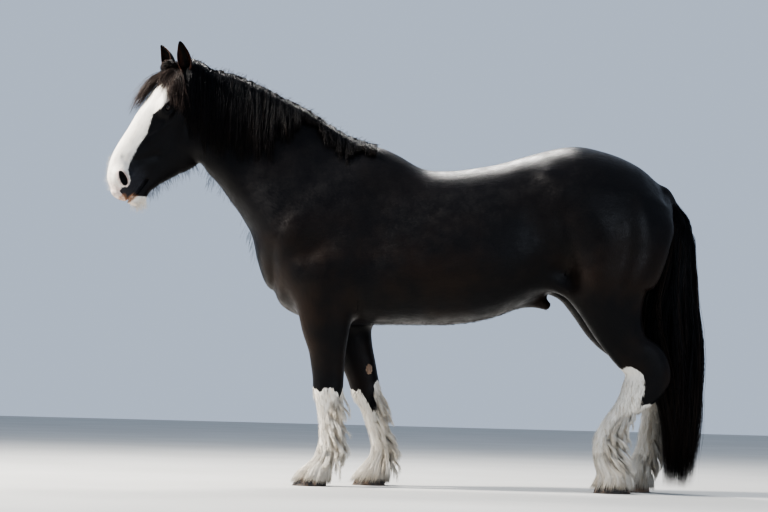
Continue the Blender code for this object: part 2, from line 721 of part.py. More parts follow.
def hoof_object(name, leg, sides=20, levels=3, grow=0.0):
    """A hoof: oval levels from a flat sole to a top that slopes down to the heels."""
    points = []
    faces = []
    for level in range(levels):
        share = level / (levels - 1)
        (x, y), (long, wide), front, back = hoof_ring(leg, share)
        for k in range(sides):
            angle = 2.0 * math.pi * k / sides
            ahead = math.cos(angle)
            flat = 0.94 if ahead < -0.5 else 1.0
            z = back + (front - back) * 0.5 * (1.0 + ahead)
            points.append((x - (long + grow) * ahead * flat, y + (wide + grow) * math.sin(angle),
                           z + (grow if level == levels - 1 else -grow if level == 0 else 0.0)))
    for level in range(levels - 1):
        for k in range(sides):
            n = (k + 1) % sides
            above = (level + 1) * sides
            faces.append((level * sides + k, level * sides + n, above + n, above + k))
    faces.append(tuple(range(sides - 1, -1, -1)))
    faces.append(tuple(range((levels - 1) * sides, levels * sides)))
    obj = new_object(name, points, faces)
    work = bmesh.new()
    work.from_mesh(obj.data)
    bmesh.ops.recalc_face_normals(work, faces=work.faces)
    work.to_mesh(obj.data)
    work.free()
    return obj


def below_coronet(name, leg):
    """A cutter that clears a leg from its hoof's top downwards, sloping as the hoof's top does."""
    (x, y), (long, wide), front, back = hoof_ring(leg, 1.0)
    high_front = front + GAP + (front - back) * 2.0
    high_back = back + GAP - (front - back) * 2.0
    reach = long * 5.0
    points = []
    for side in (-1.0, 1.0):
        for px, pz in ((x - reach, high_front), (x + reach, high_back), (x + reach, -1.0), (x - reach, -1.0)):
            points.append((px, y + side * 0.16, pz))
    faces = [(0, 1, 2, 3), (7, 6, 5, 4), (0, 4, 5, 1), (1, 5, 6, 2), (2, 6, 7, 3), (3, 7, 4, 0)]
    obj = new_object(name, points, faces)
    work = bmesh.new()
    work.from_mesh(obj.data)
    bmesh.ops.recalc_face_normals(work, faces=work.faces)
    work.to_mesh(obj.data)
    work.free()
    return obj


# Ears: base and tip in the head's frame, and how far the opening faces to the front and to the left
EARS = {
    "ear_left": ((0.062, -0.022, 0.060), (-0.070, 0.103, 0.088), (0.60, 0.70)),
    "ear_right": ((0.058, 0.040, -0.060), (-0.048, 0.141, -0.090), (0.95, 0.20)),
}
EAR_SHAPE = ((0.00, 0.022, 165.0), (0.15, 0.029, 150.0), (0.35, 0.036, 118.0), (0.60, 0.032, 96.0),
             (0.80, 0.021, 84.0), (0.93, 0.011, 74.0), (1.00, 0.003, 64.0))


def ear_object(name, thickness=0.005, around=7, steps=1):
    """A cupped ear: a curled leaf with a thickness, open forwards and outwards."""
    base, tip, (forward, sideways) = EARS[name]
    start = head_point(*base)
    axis = head_point(*tip) - start
    length = np.linalg.norm(axis)
    axis = axis / length
    opening = HEAD_FRONT * forward + HEAD_LEFT * sideways - HEAD_ALONG * 0.1
    opening = unit(opening - axis * (opening @ axis))
    across = np.cross(axis, opening)
    points = []
    faces = []
    rows = curve_through(EAR_SHAPE, steps)
    for share, half, reach in rows:
        widest = math.radians(reach)
        radius = half / (1.0 if reach >= 90.0 else math.sin(widest))
        lean = 0.018 * (share ** 2) - 0.006 * share
        for k in range(around + 1):
            angle = widest * (2.0 * k / around - 1.0)
            points.append(start + axis * length * share - opening * (radius * math.cos(angle) - lean)
                          + across * radius * math.sin(angle))
    for i in range(len(rows) - 1):
        for k in range(around):
            a = i * (around + 1) + k
            faces.append((a, a + 1, a + around + 2, a + around + 1))
    obj = new_object(name, points, faces)
    solid = obj.modifiers.new("solidify", "SOLIDIFY")
    solid.thickness = thickness
    solid.offset = 0.0
    make_real(obj)
    work = bmesh.new()
    work.from_mesh(obj.data)
    bmesh.ops.recalc_face_normals(work, faces=work.faces)
    work.to_mesh(obj.data)
    work.free()
    return obj


# Eyelids: how thick they are over the ball, how far the opening turns forward and slants, and its half sizes
LID_THICKNESS = 0.0042
LID_TURN = 0.30
LID_SLANT = 0.35
LID_LENGTH = 0.0185
LID_HEIGHT = 0.0105


def eye_object(name, side, grow=0.0):
    bpy.ops.mesh.primitive_uv_sphere_add(segments=14, ring_count=8, radius=EYE_RADIUS + grow)
    obj = bpy.context.active_object
    obj.name = name
    place = head_point(EYE_PLACE[0], EYE_PLACE[1], EYE_PLACE[2] * side)
    obj.data.transform(Matrix.Translation(Vector(place)))
    return obj


def lid_opening(name, side, sides=12):
    """A wedge with an almond outline, that opens the lids from the middle of the eye outwards."""
    centre = head_point(EYE_PLACE[0], EYE_PLACE[1], EYE_PLACE[2] * side)
    out = unit(HEAD_LEFT * side * math.cos(LID_TURN) + HEAD_FRONT * math.sin(LID_TURN))
    corner = unit(HEAD_ALONG * math.cos(LID_SLANT) - HEAD_FRONT * math.sin(LID_SLANT))
    corner = unit(corner - out * (corner @ out))
    rise = np.cross(out, corner)
    rings = []
    for depth, size in ((0.004, 0.30), (0.060, 2.10)):
        for k in range(sides):
            angle = 2.0 * math.pi * k / sides
            high = math.sin(angle) * (0.72 + 0.28 * abs(math.sin(angle)))
            rings.append(centre + out * depth + size * (corner * LID_LENGTH * math.cos(angle)
                                                        + rise * LID_HEIGHT * high))
    faces = [(k, (k + 1) % sides, sides + (k + 1) % sides, sides + k) for k in range(sides)]
    faces += [tuple(range(sides - 1, -1, -1)), tuple(range(sides, 2 * sides))]
    obj = new_object(name, rings, faces)
    face_out(obj)
    return obj


# The long hair is cut in flat, tapered locks. The tail's outer shape: x of its middle, z,
# half size in x, half size in y
TAIL_SHAPE = (
    (1.345, 1.595, 0.046, 0.050),
    (1.412, 1.500, 0.060, 0.066),
    (1.436, 1.350, 0.078, 0.080),
    (1.436, 1.150, 0.106, 0.088),
    (1.430, 0.900, 0.140, 0.088),
    (1.452, 0.650, 0.130, 0.086),
    (1.474, 0.440, 0.106, 0.086),
    (1.480, 0.300, 0.094, 0.084),
    (1.472, 0.160, 0.088, 0.080),
    (1.465, 0.020, 0.080, 0.074),
)
TAIL_DOCK = (
    (1.250, 0.000, 1.590, 0.030, 0.030, 0.036),
    (1.335, 0.000, 1.588, 0.036, 0.036, 0.044),
    (1.405, 0.000, 1.500, 0.040, 0.040, 0.052),
    (1.438, 0.000, 1.350, 0.042, 0.042, 0.050),
    (1.458, 0.000, 1.150, 0.044, 0.044, 0.050),
    (1.472, 0.000, 0.960, 0.036, 0.036, 0.042),
    (1.478, 0.000, 0.870, 0.018, 0.018, 0.022),
)
# Tiers of the tail, outermost first: height of the roots, locks in the tier, height of the tips,
# and how far out they lie, as a share of the tail's half size, while the tier above covers them
TAIL_TIERS = ((1.530, 6, 0.60, 0.95), (1.380, 6, 0.34, 0.78), (1.100, 4, 0.17, 0.62), (0.950, 4, 0.055, 0.48))
TAIL_TIP_LOWEST = 0.030
DOCK_TRIANGLES = 140
MANE_LOCKS = 21
# Length of the mane along the crest, as crest x and how far it hangs
MANE_HANG = ((-1.130, 0.300), (-1.040, 0.400), (-0.850, 0.430), (-0.700, 0.360), (-0.560, 0.240),
             (-0.420, 0.150), (-0.330, 0.130), (-0.200, 0.080))
# Forelock: where each lock starts and ends sideways, how far down the face it ends, how far off it bows
FORELOCK_LOCKS = (
    (-0.026, -0.060, 0.300, 0.028),
    (-0.012, -0.030, 0.370, 0.036),
    (0.002, -0.002, 0.390, 0.040),
    (0.014, 0.028, 0.330, 0.032),
    (0.028, 0.062, 0.300, 0.022),
    (0.040, 0.094, 0.290, 0.014),
)
# Feather: height and how far it reaches behind the middle of the leg
FEATHER_REACH = {
    "foreleg_left": (
        (0.560, 0.090), (0.490, 0.112), (0.400, 0.127), (0.200, 0.130), (0.100, 0.165), (0.000, 0.170)),
    "foreleg_right": (
        (0.560, 0.088), (0.530, 0.100), (0.285, 0.114), (0.190, 0.124), (0.110, 0.160), (0.000, 0.165)),
    "hindleg_left": (
        (0.560, 0.100), (0.450, 0.110), (0.375, 0.130), (0.270, 0.158), (0.165, 0.165), (0.000, 0.110)),
    "hindleg_right": (
        (0.560, 0.100), (0.450, 0.085), (0.375, 0.100), (0.270, 0.125), (0.165, 0.145), (0.000, 0.165)),
}
# Each tier of feather: height of its roots, how far it falls, the angles of its locks from straight behind
FEATHER_TIERS = ((0.510, 0.160, (-0.7, 0.1, 0.8)), (0.400, 0.170, (-0.95, -0.1, 0.75)),
                 (0.285, 0.190, (-0.9, -0.3, 0.3, 0.95)))
RING_HEIGHT = {"foreleg_left": 0.155, "foreleg_right": 0.155, "hindleg_left": 0.175, "hindleg_right": 0.170}
RING_ANGLES = (1.40, 2.10, 2.85, 3.60, 4.30)


def lock_object(name, path, outward, width, thickness, steps):
    """A flat, tapered lock of hair: a three-sided ribbon along a bent path, its ridge outwards."""
    rows = curve_through(np.hstack([path, outward]), steps)
    centre = rows[:, :3]
    tangent = unit(np.gradient(centre, axis=0))
    outward = rows[:, 3:] - (rows[:, 3:] * tangent).sum(axis=1)[:, None] * tangent
    outward = unit(outward)
    across = np.cross(tangent, outward)
    count = len(rows)
    points = []
    faces = []
    for i in range(count):
        share = i / (count - 1)
        swell = 0.80 + 0.20 * math.sin(min(share / 0.35, 1.0) * math.pi / 2.0)
        taper = max(1.0 - share ** 2.6, 0.05)
        half = 0.5 * width * swell * taper
        thick = 0.5 * thickness * max(1.0 - share ** 3.0, 0.10)
        for u, v in ((1.0, -0.7), (0.0, 1.3), (-1.0, -0.7)):
            points.append(centre[i] + across[i] * half * u + outward[i] * thick * v)
    for i in range(count - 1):
        for k in range(3):
            n = (k + 1) % 3
            faces.append((i * 3 + k, i * 3 + n, (i + 1) * 3 + n, (i + 1) * 3 + k))
    faces.append((2, 1, 0))
    last = (count - 1) * 3
    faces.append((last, last + 1, last + 2))
    obj = new_object(name, points, faces)
    face_out(obj)
    return obj


def face_out(obj):
    """Turn every face of a closed mesh outwards, and split its faces into triangles."""
    work = bmesh.new()
    work.from_mesh(obj.data)
    bmesh.ops.recalc_face_normals(work, faces=work.faces)
    bmesh.ops.triangulate(work, faces=work.faces)
    work.to_mesh(obj.data)
    work.free()


def meet_skin(inside, direction, reach):
    """Where lines from points inside the flesh leave it, going one way."""
    inside = np.asarray(inside, dtype=float)
    low = np.zeros(len(inside))
    high = np.full(len(inside), reach)
    for _ in range(22):
        middle = 0.5 * (low + high)
        out = flesh(inside + middle[:, None] * direction) > 0.0
        high = np.where(out, middle, high)
        low = np.where(out, low, middle)
    return inside + high[:, None] * direction


def along_table(table, value, column=0):
    """Read the rows of a table smoothly at one value of a column."""
    rows = curve_through(table, 8)
    order = np.argsort(rows[:, column])
    return np.array([np.interp(value, rows[order, column], rows[order, k]) for k in range(rows.shape[1])])


def mane_locks(chance):
    """Locks that hang from the crest over the left side of the neck."""
    crest = curve_through([(row[0], row[1], row[4]) for row in NECK[:-2]], 8)
    run = np.concatenate([[0.0], np.cumsum(np.hypot(np.diff(crest[:, 0]), np.diff(crest[:, 1])))])
    locks = []
    for i in range(MANE_LOCKS):
        share = 0.045 + 0.93 * i / (MANE_LOCKS - 1)
        x, z, y = (np.interp(share * run[-1], run, crest[:, k]) for k in range(3))
        slope = np.interp(share * run[-1], run, np.gradient(crest[:, 1], run))
        rise = np.array((-slope, 0.0, math.sqrt(1.0 - slope * slope)))
        hang = along_table(MANE_HANG, x)[1] * chance.uniform(0.86, 1.12)
        drift = chance.uniform(-0.018, 0.018)
        lift = 0.005 + 0.008 * (i % 2)
        root = np.array((x, y + 0.012, z - 0.035))
        top = np.array((x, y - 0.006, z + 0.004))
        downs = np.array((0.16, 0.56, 1.00)) * hang
        inner = np.column_stack([x + drift * downs / hang, np.full(3, y), z - downs])
        skin = meet_skin(inner, np.array((0.0, -1.0, 0.0)), 0.40)
        skin[:, 1] -= np.array((0.7, 1.1, 0.7)) * lift
        path = np.vstack([root, top, skin])
        side = np.array((0.0, -1.0, 0.0))
        outward = np.array([rise, rise + 0.5 * side, side + 0.3 * rise, side, side])
        locks.append(lock_object("mane_lock", path, outward, 0.082, 0.014, 1))
    return locks


def forelock_locks(chance):
    """Locks that fall between the ears over the forehead."""
    locks = []
    for start, end, reach, bow in FORELOCK_LOCKS:
        shares = np.array((0.06, 0.25, 0.5, 0.78, 1.0))
        along = 0.02 + (reach - 0.02) * shares
        left = start + (end - start) * shares ** 1.2
        inner = np.array([head_point(a, -0.02, b) for a, b in zip(along, left)])
        skin = meet_skin(inner, HEAD_FRONT, 0.30)
        lift = np.array((0.06, 0.55, 1.0, 0.95, 0.75)) * bow + chance.uniform(0.0, 0.003)
        path = np.vstack([head_point(0.030, 0.0, start * 0.8), skin + lift[:, None] * HEAD_FRONT])
        outward = np.array([HEAD_FRONT + HEAD_LEFT * b * 4.0 for b in np.concatenate([[start], left])])
        locks.append(lock_object("forelock_lock", path, outward, 0.040, 0.013, 1))
    return locks


def tail_locks(chance):
    """Tiers of locks round the dock, hanging to just above the ground."""
    locks = []
    cover = TAIL_TIERS[0][2]
    for tier, (top, count, bottom, under) in enumerate(TAIL_TIERS):
        for k in range(count):
            angle = 2.0 * math.pi * (k + 0.5 * (tier % 2)) / count + chance.uniform(-0.15, 0.15)
            tip = max(bottom + chance.uniform(-0.02, 0.12), TAIL_TIP_LOWEST)
            clear = max(min(cover + 0.10, top - 0.20), tip + 0.10)
            heights = (top, top - 0.12, clear, 0.5 * (clear + tip), tip)
            lie = under - 0.07 * (k % 2)
            spread = (0.20, 0.86 * lie, lie, 0.5 * lie + 0.46, 0.80)
            turn = angle + chance.uniform(-0.2, 0.2) * np.linspace(0.0, 1.0, len(heights))
            path = []
            outward = []
            for z, share, bend in zip(heights, spread, turn):
                x, _, long, wide = along_table(TAIL_SHAPE, z, 1)
                path.append((x + long * share * math.cos(bend), wide * share * math.sin(bend), z))
                outward.append((math.cos(bend), math.sin(bend), 0.15))
            locks.append(lock_object("tail_lock", np.array(path), np.array(outward), 0.094, 0.012, 1))
        cover = bottom
    return locks


def leg_ring(table, z, angle, out):
    """A point a little way out from a lower leg's skin; angle 0 is straight behind."""
    x, y, _, front, back, wide = along_table(table, z, 2)
    long = back if math.cos(angle) > 0.0 else front
    return np.array((x + (long + out) * math.cos(angle), y + (wide + out) * math.sin(angle), z))


def feather_locks(leg, chance):
    """Locks down the back of a cannon, and a ring of them that falls over the hoof."""
    table = LEGS[leg][0]
    hoof_x, hoof_y, _, _, hoof_long, hoof_wide, _ = HOOVES[leg]
    reach_z, reach_x = np.array(FEATHER_REACH[leg])[::-1].T
    locks = []
    for top, fall, angles in FEATHER_TIERS:
        for angle in angles:
            angle = angle + chance.uniform(-0.10, 0.10)
            tip = max(top - fall * chance.uniform(0.9, 1.15), 0.022)
            path = []
            for share, away in ((0.0, -0.30), (0.25, 0.45), (0.60, 0.90), (1.0, 1.0)):
                z = top + (tip - top) * share
                x, y, _, front, back, wide = along_table(table, z, 2)
                out = max(np.interp(z, reach_z, reach_x) - back, 0.02) * away * math.cos(0.75 * angle)
                path.append((x + (back + out) * math.cos(angle), y + (wide + out) * math.sin(angle), z))
            reach = np.array([(math.cos(angle), math.sin(angle), 0.2)] * 4)
            locks.append(lock_object("feather_lock", np.array(path), reach, 0.070, 0.015, 1))
    high = RING_HEIGHT[leg]
    for angle in RING_ANGLES:
        angle = angle + chance.uniform(-0.08, 0.08)
        way = np.array((math.cos(angle), math.sin(angle), 0.0))
        shape = np.array((hoof_long, hoof_wide, 0.0))
        middle = np.array((hoof_x, hoof_y, 0.0))
        root = leg_ring(table, high, angle, -0.016)
        knee = leg_ring(table, high - 0.024, angle, 0.010)
        over = middle + way * (shape - 0.006) + (0.0, 0.0, 0.088)
        end = middle + way * (shape + 0.012) + (0.0, 0.0, 0.022 + chance.uniform(0.0, 0.014))
        path = np.array([root, knee, over, end])
        reach = np.array([way + (0.0, 0.0, 0.6), way + (0.0, 0.0, 0.8), way + (0.0, 0.0, 0.5), way])
        locks.append(lock_object("ring_lock", path, reach, 0.098, 0.016, 1))
    return locks


def dock_object(name):
    """The fleshy dock of the tail, which the tail's locks grow from."""
    points, faces = tube(limb_loft(TAIL_DOCK, 0.05, (0.02, 0.02)), 12, 1.0)
    obj = new_object(name, points, faces)
    face_out(obj)
    decimate(obj, DOCK_TRIANGLES)
    return obj


def join_hair(obj, pieces):
    """Fuse pieces of hair with what they grow from, in one union."""
    hair = bpy.data.collections.new("hair")
    bpy.context.scene.collection.children.link(hair)
    for piece in pieces:
        for owner in list(piece.users_collection):
            owner.objects.unlink(piece)
        hair.objects.link(piece)
    boolean = obj.modifiers.new("union", "BOOLEAN")
    boolean.operation = "UNION"
    boolean.solver = "MANIFOLD"
    boolean.operand_type = "COLLECTION"
    boolean.collection = hair
    make_real(obj)
    for piece in pieces:
        remove(piece)
    bpy.data.collections.remove(hair)
    keep_largest(obj)


def material(name, colour, roughness):
    shade = bpy.data.materials.new(name)
    shade.use_nodes = True
    shader = shade.node_tree.nodes["Principled BSDF"]
    shader.inputs["Base Color"].default_value = (*colour, 1.0)
    shader.inputs["Roughness"].default_value = roughness
    shader.inputs["Metallic"].default_value = 0.0
    shade.diffuse_color = (*colour, 1.0)
    return shade


def finish_node(obj, collection, shade):
    keep_largest(obj)
    for owner in list(obj.users_collection):
        owner.objects.unlink(obj)
    collection.objects.link(obj)
    obj.data.materials.clear()
    obj.data.materials.append(shade)
    obj.data.shade_smooth()
    obj.data.set_sharp_from_angle(angle=math.radians(40.0))


def build():
    chance = random.Random(11)
    for obj in list(bpy.data.objects):
        bpy.data.objects.remove(obj)
    horse = bpy.data.collections.new("shire_horse")
    bpy.context.scene.collection.children.link(horse)
    black = material("black_coat", BLACK, 0.5)
    white = material("white_feather", WHITE, 0.8)
    hair = material("black_hair", BLACK, 0.6)
    dark_horn = material("dark_horn", HORN_DARK, 0.5)
    pale_horn = material("pale_horn", HORN_PALE, 0.5)
    eye = material("eye", EYE_BROWN, 0.08)

    # The body thinned out once, then parted with blocks; the head from a finer skin
    body = skin_object("body", list(lofts()), 0.014)
    decimate(body, 3000)
    head = skin_object("head", ["face", "jaw", "neck"], 0.006)
    head_side = half_space("head_side", *HEAD_CUT, GAP / 2.0)
    neck_side = half_space("neck_side", *HEAD_CUT, -GAP / 2.0)
    fore_neck = half_space("fore_neck", *NECK_CUT, GAP / 2.0)
    aft_neck = half_space("aft_neck", *NECK_CUT, -GAP / 2.0)
    rough_side = half_space("rough_side", *HEAD_CUT, -0.03)
    cut_to(head, [rough_side], "INTERSECT")
    keep_largest(head)
    decimate(head, 2500)
    cut_to(head, [head_side], "INTERSECT")

    neck = copy_of(body, "neck")
    cut_to(neck, [fore_neck], "INTERSECT")
    cut_to(neck, [neck_side], "DIFFERENCE")
    keep_largest(neck)

    torso = copy_of(body, "torso")
    blocks = [block("fore_block", (FORE_REACH[0], -0.6, -0.5), (FORE_REACH[1], 0.6, ELBOW_CUT)),
              block("hind_block", (HIND_REACH[0], -0.6, -0.5), (HIND_REACH[1], 0.6, STIFLE_CUT))]
    cut_to(torso, [aft_neck] + blocks, "DIFFERENCE")
    keep_largest(torso)

    nodes = {"head": (head, black), "neck": (neck, black), "torso": (torso, black)}
    scrap = [rough_side, head_side, neck_side, fore_neck, aft_neck] + blocks

    for leg, (table, side, reach, top, middle) in LEGS.items():
        outer = sorted((0.0, side * 0.6))
        cut = middle + GAP / 2.0
        upper_block = block("upper_block", (reach[0], outer[0], cut), (reach[1], outer[1], top - GAP))
        lower_block = block("lower_block", (reach[0], outer[0], -0.5), (reach[1], outer[1], cut - GAP))
        coronet = below_coronet("coronet", leg)
        upper = copy_of(body, leg + "_upper")
        cut_to(upper, [upper_block], "INTERSECT")
        keep_largest(upper)
        lower = copy_of(body, leg + "_lower")
        cut_to(lower, [lower_block], "INTERSECT")
        cut_to(lower, [coronet], "DIFFERENCE")
        keep_largest(lower)
        hoof = hoof_object("hoof_" + leg, leg)
        join_hair(lower, feather_locks(leg, chance))
        grown = hoof_object("grown_hoof", leg, grow=2.0 * GAP)
        cut_to(lower, [grown], "DIFFERENCE")
        keep_largest(lower)
        nodes[leg + "_upper"] = (upper, black)
        nodes[leg + "_lower"] = (lower, white)
        nodes["hoof_" + leg] = (hoof, pale_horn if leg == "hindleg_right" else dark_horn)
        scrap += [upper_block, lower_block, coronet, grown]

    # The mane hangs from the crest, the forelock over the forehead, the tail from its dock
    join_hair(neck, mane_locks(chance))
    cut_to(neck, [neck_side], "DIFFERENCE")
    cut_to(neck, [fore_neck], "INTERSECT")
    keep_largest(neck)
    join_hair(head, forelock_locks(chance))

    wide_head = copy_of(head, "wide_head", 3.0 * GAP)
    for name in EARS:
        ear = ear_object(name)
        add_modifier_boolean(ear, wide_head, "DIFFERENCE")
        nodes[name] = (ear, black)
    scrap.append(wide_head)
    for name, side in (("eye_left", 1.0), ("eye_right", -1.0)):
        ball = eye_object(name, side)
        socket = eye_object("socket", side, GAP)
        opening = lid_opening("opening", side)
        lid = eye_object("lid", side, LID_THICKNESS)
        add_modifier_boolean(head, lid, "UNION")
        cut_to(head, [opening, socket], "DIFFERENCE")
        keep_largest(head)
        nodes[name] = (ball, eye)
        scrap += [lid, socket, opening]

    wide_torso = copy_of(torso, "wide_torso", 2.0 * GAP)
    wide_legs = [copy_of(nodes[name][0], "wide_leg", 2.0 * GAP)
                 for name in ("hindleg_left_lower", "hindleg_right_lower")]
    tail = dock_object("tail")
    join_hair(tail, tail_locks(chance))
    cut_to(tail, [wide_torso] + wide_legs, "DIFFERENCE")
    keep_largest(tail)
    nodes["tail"] = (tail, hair)
    scrap += [wide_torso] + wide_legs

    for obj in scrap:
        remove(obj)
    remove(body)
    for name, (obj, shade) in nodes.items():
        obj.name = name
        finish_node(obj, horse, shade)
    for obj in list(bpy.data.objects):
        if obj.name not in nodes:
            remove(obj)


build()
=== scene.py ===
"""The looks of a shire horse that stands at rest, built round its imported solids.

Metres, +Z up, the same frame as the solids. The horse faces -X with its left
side on -Y. One skin lies a coat's depth inside the solids of flesh. It is drawn
onto the same field of lofts and strokes as they are, with lids and folds added.
Mane, forelock, tail, feather and tufts are meshes of thin tapered hairs, combed
round guide lines that start on the skin.
"""
import math

import bmesh
import bpy
import numpy as np
from mathutils import Matrix, Vector


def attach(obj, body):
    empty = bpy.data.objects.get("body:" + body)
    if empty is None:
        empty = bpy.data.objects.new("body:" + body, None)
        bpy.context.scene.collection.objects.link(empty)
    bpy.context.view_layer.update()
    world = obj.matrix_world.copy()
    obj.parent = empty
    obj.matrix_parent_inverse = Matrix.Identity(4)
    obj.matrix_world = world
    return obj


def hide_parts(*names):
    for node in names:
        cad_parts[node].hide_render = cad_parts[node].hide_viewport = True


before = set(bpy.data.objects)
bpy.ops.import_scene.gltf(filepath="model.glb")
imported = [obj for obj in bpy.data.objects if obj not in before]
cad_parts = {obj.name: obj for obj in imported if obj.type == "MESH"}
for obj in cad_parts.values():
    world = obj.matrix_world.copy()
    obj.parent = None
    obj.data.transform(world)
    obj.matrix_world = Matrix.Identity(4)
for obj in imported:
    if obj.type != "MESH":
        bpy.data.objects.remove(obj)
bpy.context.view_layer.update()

# Driving dimensions, as in the part's source
HEAD_PITCH = math.radians(25.2)
HEAD_YAW = math.radians(22.0)
POLL = (-1.184, -0.050, 2.190)
EYE_RADIUS = 0.021
EYE_PLACE = (0.278, 0.008, 0.104)
NOSTRIL_TURN = 0.92
NOSTRIL_RIM = (0.714, 0.044, 0.070)
COAT_DEPTH = 0.003
FEATHER_DEPTH = 0.008

# Trunk sections: x, back line, belly line, half width, narrowing towards the back
TRUNK = (
    (-0.690, 1.380, 1.010, 0.150, 0.00),
    (-0.640, 1.480, 0.925, 0.220, 0.05),
    (-0.510, 1.580, 0.865, 0.262, 0.15),
    (-0.360, 1.680, 0.845, 0.282, 0.28),
    (-0.200, 1.745, 0.842, 0.296, 0.38),
    (-0.070, 1.728, 0.845, 0.313, 0.36),
    (0.070, 1.670, 0.848, 0.332, 0.26),
    (0.230, 1.668, 0.852, 0.345, 0.20),
    (0.380, 1.690, 0.874, 0.350, 0.17),
    (0.490, 1.714, 0.905, 0.347, 0.15),
    (0.600, 1.748, 0.952, 0.338, 0.12),
    (0.700, 1.778, 1.000, 0.328, 0.06),
    (0.800, 1.803, 1.053, 0.322, 0.00),
    (0.900, 1.812, 1.085, 0.325, -0.05),
    (1.010, 1.792, 1.110, 0.322, -0.05),
    (1.120, 1.758, 1.120, 0.305, 0.00),
    (1.220, 1.708, 1.150, 0.272, 0.00),
    (1.300, 1.642, 1.200, 0.205, 0.00),
    (1.345, 1.585, 1.270, 0.140, 0.00),
)

# Neck sections: crest x and z, throat x and z, y, half width, narrowing at the crest
NECK = (
    (-1.205, 2.105, -1.172, 1.735, -0.062, 0.078, 0.10),
    (-1.136, 2.140, -1.086, 1.664, -0.045, 0.098, 0.20),
    (-1.046, 2.156, -1.058, 1.624, -0.032, 0.104, 0.30),
    (-0.951, 2.146, -1.022, 1.588, -0.020, 0.113, 0.38),
    (-0.844, 2.106, -0.986, 1.548, -0.010, 0.124, 0.45),
    (-0.738, 2.057, -0.953, 1.504, -0.004, 0.138, 0.48),
    (-0.631, 2.006, -0.920, 1.458, 0.000, 0.155, 0.50),
    (-0.525, 1.955, -0.885, 1.413, 0.000, 0.175, 0.50),
    (-0.417, 1.886, -0.850, 1.358, 0.000, 0.198, 0.50),
    (-0.311, 1.828, -0.812, 1.297, 0.000, 0.220, 0.50),
    (-0.204, 1.785, -0.785, 1.240, 0.000, 0.238, 0.48),
    (-0.125, 1.755, -0.760, 1.188, 0.000, 0.246, 0.45),
    (-0.040, 1.700, -0.705, 1.130, 0.000, 0.236, 0.40),
    (0.060, 1.620, -0.630, 1.070, 0.000, 0.205, 0.30),
)

# Limb sections: x, y, z, then half sizes to the front, to the back and sideways
NEAR_FORE = (
    (-0.440, -0.205, 1.120, 0.150, 0.150, 0.080),
    (-0.420, -0.200, 0.950, 0.143, 0.145, 0.098),
    (-0.405, -0.193, 0.810, 0.127, 0.125, 0.090),
    (-0.396, -0.185, 0.710, 0.102, 0.101, 0.079),
    (-0.392, -0.180, 0.630, 0.090, 0.090, 0.070),
    (-0.388, -0.175, 0.555, 0.083, 0.083, 0.066),
    (-0.388, -0.172, 0.485, 0.080, 0.079, 0.070),
    (-0.388, -0.170, 0.425, 0.064, 0.064, 0.056),
    (-0.388, -0.170, 0.350, 0.052, 0.052, 0.043),
    (-0.386, -0.170, 0.250, 0.047, 0.048, 0.040),
    (-0.386, -0.170, 0.180, 0.056, 0.058, 0.052),
    (-0.406, -0.170, 0.128, 0.054, 0.052, 0.053),
    (-0.430, -0.170, 0.085, 0.064, 0.062, 0.070),
    (-0.442, -0.170, 0.040, 0.070, 0.066, 0.074),
)
FAR_FORE = (
    (-0.380, 0.205, 1.120, 0.150, 0.150, 0.080),
    (-0.315, 0.200, 0.950, 0.143, 0.145, 0.098),
    (-0.290, 0.193, 0.810, 0.127, 0.122, 0.090),
    (-0.260, 0.185, 0.710, 0.102, 0.103, 0.079),
    (-0.231, 0.180, 0.630, 0.090, 0.091, 0.070),
    (-0.208, 0.175, 0.555, 0.083, 0.083, 0.066),
    (-0.188, 0.172, 0.485, 0.080, 0.079, 0.070),
    (-0.167, 0.170, 0.425, 0.064, 0.062, 0.056),
    (-0.150, 0.170, 0.350, 0.052, 0.050, 0.043),
    (-0.122, 0.170, 0.250, 0.047, 0.048, 0.040),
    (-0.106, 0.170, 0.180, 0.056, 0.056, 0.052),
    (-0.122, 0.170, 0.128, 0.054, 0.052, 0.053),
    (-0.146, 0.170, 0.085, 0.064, 0.062, 0.070),
    (-0.158, 0.170, 0.040, 0.070, 0.066, 0.074),
)
NEAR_HIND = (
    (1.090, -0.165, 1.480, 0.240, 0.270, 0.105),
    (1.085, -0.190, 1.370, 0.240, 0.300, 0.120),
    (1.075, -0.205, 1.200, 0.235, 0.265, 0.127),
    (1.050, -0.205, 1.045, 0.192, 0.212, 0.120),
    (1.096, -0.192, 0.890, 0.144, 0.152, 0.098),
    (1.178, -0.172, 0.768, 0.128, 0.095, 0.078),
    (1.256, -0.157, 0.686, 0.130, 0.112, 0.066),
    (1.270, -0.150, 0.600, 0.130, 0.118, 0.062),
    (1.210, -0.150, 0.500, 0.092, 0.088, 0.056),
    (1.144, -0.150, 0.425, 0.060, 0.058, 0.047),
    (1.052, -0.153, 0.300, 0.054, 0.054, 0.044),
    (1.046, -0.156, 0.225, 0.060, 0.060, 0.054),
    (1.056, -0.158, 0.165, 0.060, 0.056, 0.056),
    (1.078, -0.160, 0.110, 0.068, 0.066, 0.070),
    (1.088, -0.160, 0.045, 0.074, 0.070, 0.076),
)
